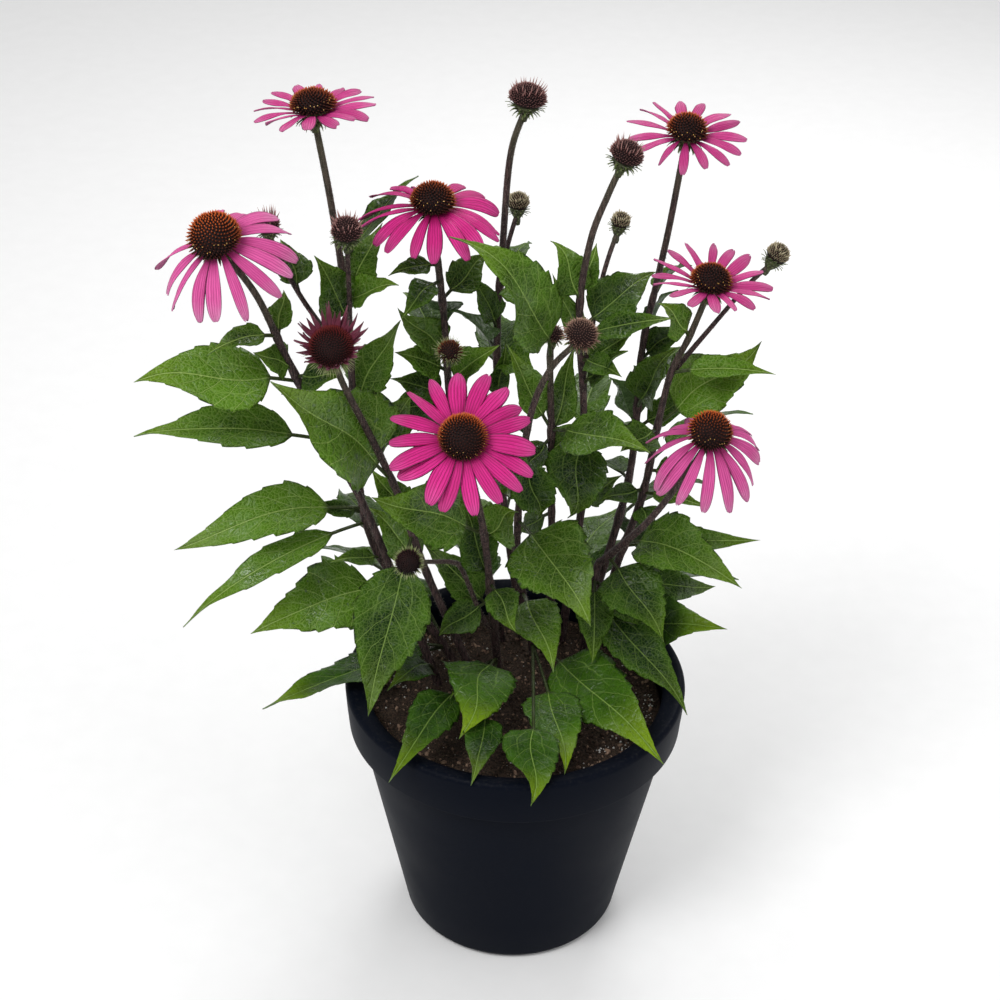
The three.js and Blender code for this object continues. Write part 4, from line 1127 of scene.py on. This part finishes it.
def spiny_dome(piece, head, start, style, random):
    """A dome set all over with spines in the spirals of a flower head."""
    axes = Head(head)
    radius, height, spacing, spine = head["radius"], head["height"], style["spacing"], style["spine"]
    slope = np.radians(np.linspace(DOME["lowest"], DOME["highest"], DOME["levels"]))[:, None]
    core = axes.point(circle(DOME["sides"]), (radius - spine * 0.5) * np.cos(slope),
                      start + height * dome_rise(slope))
    piece.loft(core, "cone_core")
    count = int(SPINE["cover"] * np.pi * radius**2 / spacing**2)
    lean = np.arcsin(1 - SPINE["reach"] * (np.arange(count) + 0.5) / count)
    turn = np.arange(count) * math.pi * (3 - math.sqrt(5))
    bases = axes.point(turn, (radius - spine * DOME["sunk"]) * np.cos(lean),
                       start + height * dome_rise(lean))
    steep = np.clip(lean * SPINE["lean"] + SPINE["lift"], *SPINE["steep"])
    steep = steep + (SPINE["upright"] - steep) * style["upright"]
    steep = steep + style["unruly"] * (random.random(count) - 0.5)
    skew = turn + SPINE["skew"] + style["unruly"] * (random.random(count) - 0.5)
    level = np.clip(np.sin(lean), 0, 1)
    lengths = spine * (1.15 - SPINE["shorter"] * level) * random.uniform(*SPINE["lengths"], count)
    # painted shade: spines towards the head's front are darker and those towards its rear lighter, as light
    # falls on them; the crown term is the head's own darker top
    painted_shade_and_crown = 0.42 - 0.45 * np.cos(lean) * np.sin(turn) + style["crown"] * level**2
    piece.spikes(bases, axes.steep(skew, steep), lengths, spacing * SPINE["width"], style["look"],
                 np.clip(painted_shade_and_crown, 0, 1))
    return axes


def bristles(piece, axes, head, style, random):
    """The long, stiff points that stand round the rim of a bud."""
    count = style["bristles"]
    turn = 2 * np.pi * (np.arange(count) + 0.8 * random.random(count)) / count
    steep = random.uniform(*style["steep"], count)
    inward = np.clip(steep, 0, 1.4) / 1.4
    bases = axes.point(turn, head["radius"] * (0.95 - 0.35 * inward),
                       GAP + head["height"] * (0.2 + 0.45 * inward))
    lengths = (style["bristle"] + 1.5) * random.uniform(0.7, 1.2, count)
    piece.spikes(bases, axes.steep(turn, steep), lengths, style["width"], style["tips"], 0.1)


def pollen(piece, axes, head, start, random):
    """Grains of pollen on the open florets of the cone's lowest rows."""
    count, size = POLLEN["count"], POLLEN["size"]
    turn = 2 * np.pi * (np.arange(count) + 0.9 * random.random(count)) / count
    lean = random.uniform(0.1, 0.65, count)
    at = axes.point(turn, (head["radius"] + 0.5) * np.cos(lean),
                    start + head["height"] * (0.25 + 0.78 * np.sin(lean)))
    up = np.tile(axes.along, (count, 1))
    piece.spikes(at - up * 0.3, up, np.full(count, size), POLLEN["width"], "pollen", 0)


def cone(key, flower, index):
    piece = Piece()
    random = np.random.default_rng(900 + index)
    start = RAY_PLATE["thickness"] + 2 * GAP
    style = dict(YOUNG_CONE if key == "young" else CONE, crown=flower["crown"])
    axes = spiny_dome(piece, flower, start, style, random)
    if key != "young":
        pollen(piece, axes, flower, start, random)
    piece.build(f"cone_{key}")


def bud(key, head, index):
    piece = Piece()
    random = np.random.default_rng(1300 + index)
    axes = spiny_dome(piece, head, GAP, head["style"], random)
    bristles(piece, axes, head, head["style"], random)
    piece.build(key)


# ---------------------------------------------------------------- pot and soil


def inner_radius(height):
    share = (height - POT["floor"]) / (BAND_FOOT - POT["floor"])
    return POT["floor_radius"] + (POT["shoulder"] - POT["wall"] - POT["floor_radius"]) * share


def corner_arc(radius, height, size, start, end, steps=5):
    """Points of a rounded corner about a centre, between two directions in degrees."""
    angle = np.radians(np.linspace(start, end, steps))
    return [(radius + size * np.cos(a), height + size * np.sin(a)) for a in angle]


def pot_profile():
    """Radius and height of the pot's outline: underside, wall, band, rim, lip and the inside."""
    corner, band, top, base = POT["corner"], POT["band"], POT["height"], POT["base"]
    profile = [(2, 0), (30, 0), (base - corner - 1, 0)]
    profile += corner_arc(base - corner, corner, corner, -80, -10)
    profile += [(base + (POT["shoulder"] - base) * k / 6, corner + (BAND_FOOT - corner) * k / 6)
                for k in range(1, 7)]
    profile += [(POT["shoulder"] + 1.9, LIP_FOOT - 1), (POT["shoulder"] + 3, LIP_FOOT)]
    profile += [(POT["rim"] - POT["wall"] - 2, LIP_FOOT), (POT["rim"] - POT["wall"] - 1, LIP_FOOT - 1)]
    profile += [(band - POT["wall"], BAND_FOOT + 0.6)]
    profile += corner_arc(band - 1, BAND_FOOT + 0.7, 0.7, -120, 0)
    profile += [(band + 1, BAND_FOOT + 16)]
    profile += corner_arc(POT["rim"] - 4, top - 4, 4, 0, 90, 7)
    profile += [(LIP["radius"] + 6, top - 2), (LIP["radius"] + 2, top - 4)]
    profile += [(LIP["radius"] + 0.4, top - 6), (LIP["radius"], LIP_FOOT)]
    profile += [(inner_radius(BAND_FOOT), BAND_FOOT), (inner_radius(POT["floor"] + 3), POT["floor"] + 3)]
    profile += [(inner_radius(POT["floor"]) - 2, POT["floor"]), (30, POT["floor"]), (2, POT["floor"])]
    return profile


def pot():
    """The pot's wall, rim band and inward-sloping lip, with its drainage holes cut through the floor."""
    piece = Piece()
    flat = round_points(POT["sides"])
    piece.loft([radius * flat + [0, 0, height] for radius, height in pot_profile()], "pot_plastic")
    cut_drains(piece.build("pot"))


def cut_drains(thing):
    cutters = Piece()
    flat = DRAIN["radius"] * round_points(DRAIN["sides"])
    for k in range(DRAIN["count"]):
        turn = 2 * np.pi * (k + 0.5) / DRAIN["count"]
        middle = DRAIN["ring"] * np.array([math.cos(turn), math.sin(turn), 0])
        cutters.loft([middle + flat + [0, 0, DRAIN[end]] for end in ("low", "high")], "pot_plastic")
    cutter = new_object("drain_cutters", cutters.points, cutters.faces)
    modifier = thing.modifiers.new("drains", "BOOLEAN")
    modifier.operation = "DIFFERENCE"
    modifier.solver = "EXACT"
    modifier.object = cutter
    bpy.context.view_layer.objects.active = thing
    bpy.ops.object.modifier_apply(modifier=modifier.name)
    bpy.data.objects.remove(cutter)


def soil_height(x, y):
    """Height of the soil's top: low mounds and a crumbly surface."""
    mound = noise.noise(Vector((x * 0.02, y * 0.02, 4.2))) * SOIL["bump"]
    crumb = noise.noise(Vector((x * 0.13, y * 0.13, 9.1))) * SOIL["crumb"]
    grain = noise.noise(Vector((x * 0.5, y * 0.5, 2.7))) * SOIL["grain"]
    return SOIL["top"] + mound + crumb + grain


def soil():
    piece = Piece()
    flat = round_points(SOIL["sides"])
    foot = POT["floor"] + GAP
    edge = LIP["radius"] - GAP
    sides = [(2, foot), (inner_radius(POT["floor"]) - SOIL["clearance"], foot),
             (inner_radius(BAND_FOOT) - SOIL["clearance"], BAND_FOOT), (edge, SOIL["top"] - 4)]
    rings = [radius * flat + [0, 0, height] for radius, height in sides]
    for radius in np.linspace(edge, 1, SOIL["rings"]):
        ring = radius * flat
        ring[:, 2] = [soil_height(x, y) for x, y, _ in ring]
        rings.append(ring)
    piece.loft(rings, "peat")
    scatter(piece)
    piece.build("soil")


def scatter(piece):
    """Bark chips and perlite, half sunk in the soil."""
    random = np.random.default_rng(77)
    spread = BITS["chips"] + BITS["perlite"]
    for k in range(spread + BITS["drifted"]):
        distance = (LIP["radius"] - 4) * math.sqrt(random.random())
        turn = 2 * np.pi * random.random()
        if k >= spread:
            distance = LIP["radius"] - DRIFT["start"] - DRIFT["depth"] * random.random()
            turn = DRIFT["right" if k % 2 else "left"] - DRIFT["length"] * random.random()
        x, y = distance * math.cos(turn), distance * math.sin(turn)
        middle = np.array([x, y, soil_height(x, y) + 0.2])
        if k < BITS["chips"]:
            size = np.array(CHIP["size"]) * (CHIP["least"] + CHIP["more"] * random.random() ** 4)
            size = size * random.uniform(*CHIP["spread"], 3)
            look = "chip_pale" if random.random() < BITS["pale_share"] else "chip_dark"
        else:
            size = np.full(3, 0.4 + 0.6 * random.random() ** 2)
            look = "perlite"
        axes = np.linalg.qr(random.normal(size=(3, 3)) + np.diag([0, 0, 2.5]))[0]
        crumb(piece, middle, axes * size[:, None], look, random)


def crumb(piece, middle, axes, look, random):
    """One irregular bit: three uneven six-sided rings."""
    flat = round_points(6) @ axes
    rings = []
    for level, size in ((-0.9, 0.6), (0, 1), (0.9, 0.55)):
        reach = size * random.uniform(0.75, 1.25, 6)[:, None]
        rings.append(middle + reach * flat + level * axes[2])
    piece.loft(rings, look)


# ---------------------------------------------------------------- stage

FLOOR = dict(size=12, drop=0.0005)
FLOOR_WHITES = ((0.92, 0.92, 0.92), (0.96, 0.96, 0.96))

# Lamps: place and aim in metres, size in metres and power in watts. World: its strength.
LAMPS = (
    dict(name="key_lamp", place=(-0.9, -1.1, 2.1), size=0.9, power=26),
    dict(name="fill_lamp", place=(1.5, -0.8, 1.3), size=1.6, power=7),
    dict(name="back_lamp", place=(0.4, 1.5, 1.6), size=1.0, power=16),
)
LAMP_AIM = (0, 0, 0.35)
WORLD_STRENGTH = 0.54

# Camera: what it looks at and how far away it is in metres, its angles in degrees and its lens.
CAMERA = dict(target=(-0.0138, 0, 0.3673), distance=1.5, pitch=33.2, roll=1.03, lens=76.32, sensor=36)


def floor():
    bpy.ops.mesh.primitive_plane_add(size=FLOOR["size"], location=(0, 0, -FLOOR["drop"]))
    plane = bpy.context.object
    plane.name = "floor"
    look = Look("floor")
    look.surface(Base_Color=look.mix(look.noise(look.place(), 40.0), *FLOOR_WHITES), Roughness=0.7)
    plane.data.materials.append(look.material)


def lights():
    world = bpy.data.worlds.new("studio")
    world.use_nodes = True
    background = world.node_tree.nodes["Background"]
    background.inputs["Color"].default_value = (1, 1, 1, 1)
    background.inputs["Strength"].default_value = WORLD_STRENGTH
    bpy.context.scene.world = world
    for lamp in LAMPS:
        data = bpy.data.lights.new(lamp["name"], "AREA")
        data.size = lamp["size"]
        data.energy = lamp["power"]
        thing = bpy.data.objects.new(lamp["name"], data)
        thing.location = lamp["place"]
        aim = Vector(LAMP_AIM) - thing.location
        thing.rotation_euler = aim.to_track_quat("-Z", "Y").to_euler()
        bpy.context.scene.collection.objects.link(thing)


def camera():
    pitch = math.radians(CAMERA["pitch"])
    roll = math.radians(CAMERA["roll"])
    forward = Vector((0, math.cos(pitch), -math.sin(pitch)))
    level_up = Vector((0, math.sin(pitch), math.cos(pitch)))
    level_right = Vector((1, 0, 0))
    right = level_right * math.cos(roll) + level_up * math.sin(roll)
    up = level_up * math.cos(roll) - level_right * math.sin(roll)
    data = bpy.data.cameras.new("camera")
    data.lens = CAMERA["lens"]
    data.sensor_width = CAMERA["sensor"]
    data.clip_end = 20
    thing = bpy.data.objects.new("camera", data)
    turn = Matrix((right, up, -forward)).transposed()
    place = Vector(CAMERA["target"]) - forward * CAMERA["distance"]
    thing.matrix_world = Matrix.Translation(place) @ turn.to_4x4()
    bpy.context.scene.collection.objects.link(thing)
    bpy.context.scene.camera = thing


# ---------------------------------------------------------------- the whole


def main():
    camera()
    make_looks()
    pot()
    soil()
    for index, (key, shoot) in enumerate(SHOOTS.items()):
        leafy_stem(key, shoot, index)
    for index, (key, flower) in enumerate(FLOWERS.items()):
        rays(key, flower, index)
        cone(key, flower, index)
    for index, (key, head) in enumerate(BUDS.items()):
        bud(key, head, index)
    floor()
    lights()
    bpy.context.scene.view_settings.view_transform = "Standard"


main()
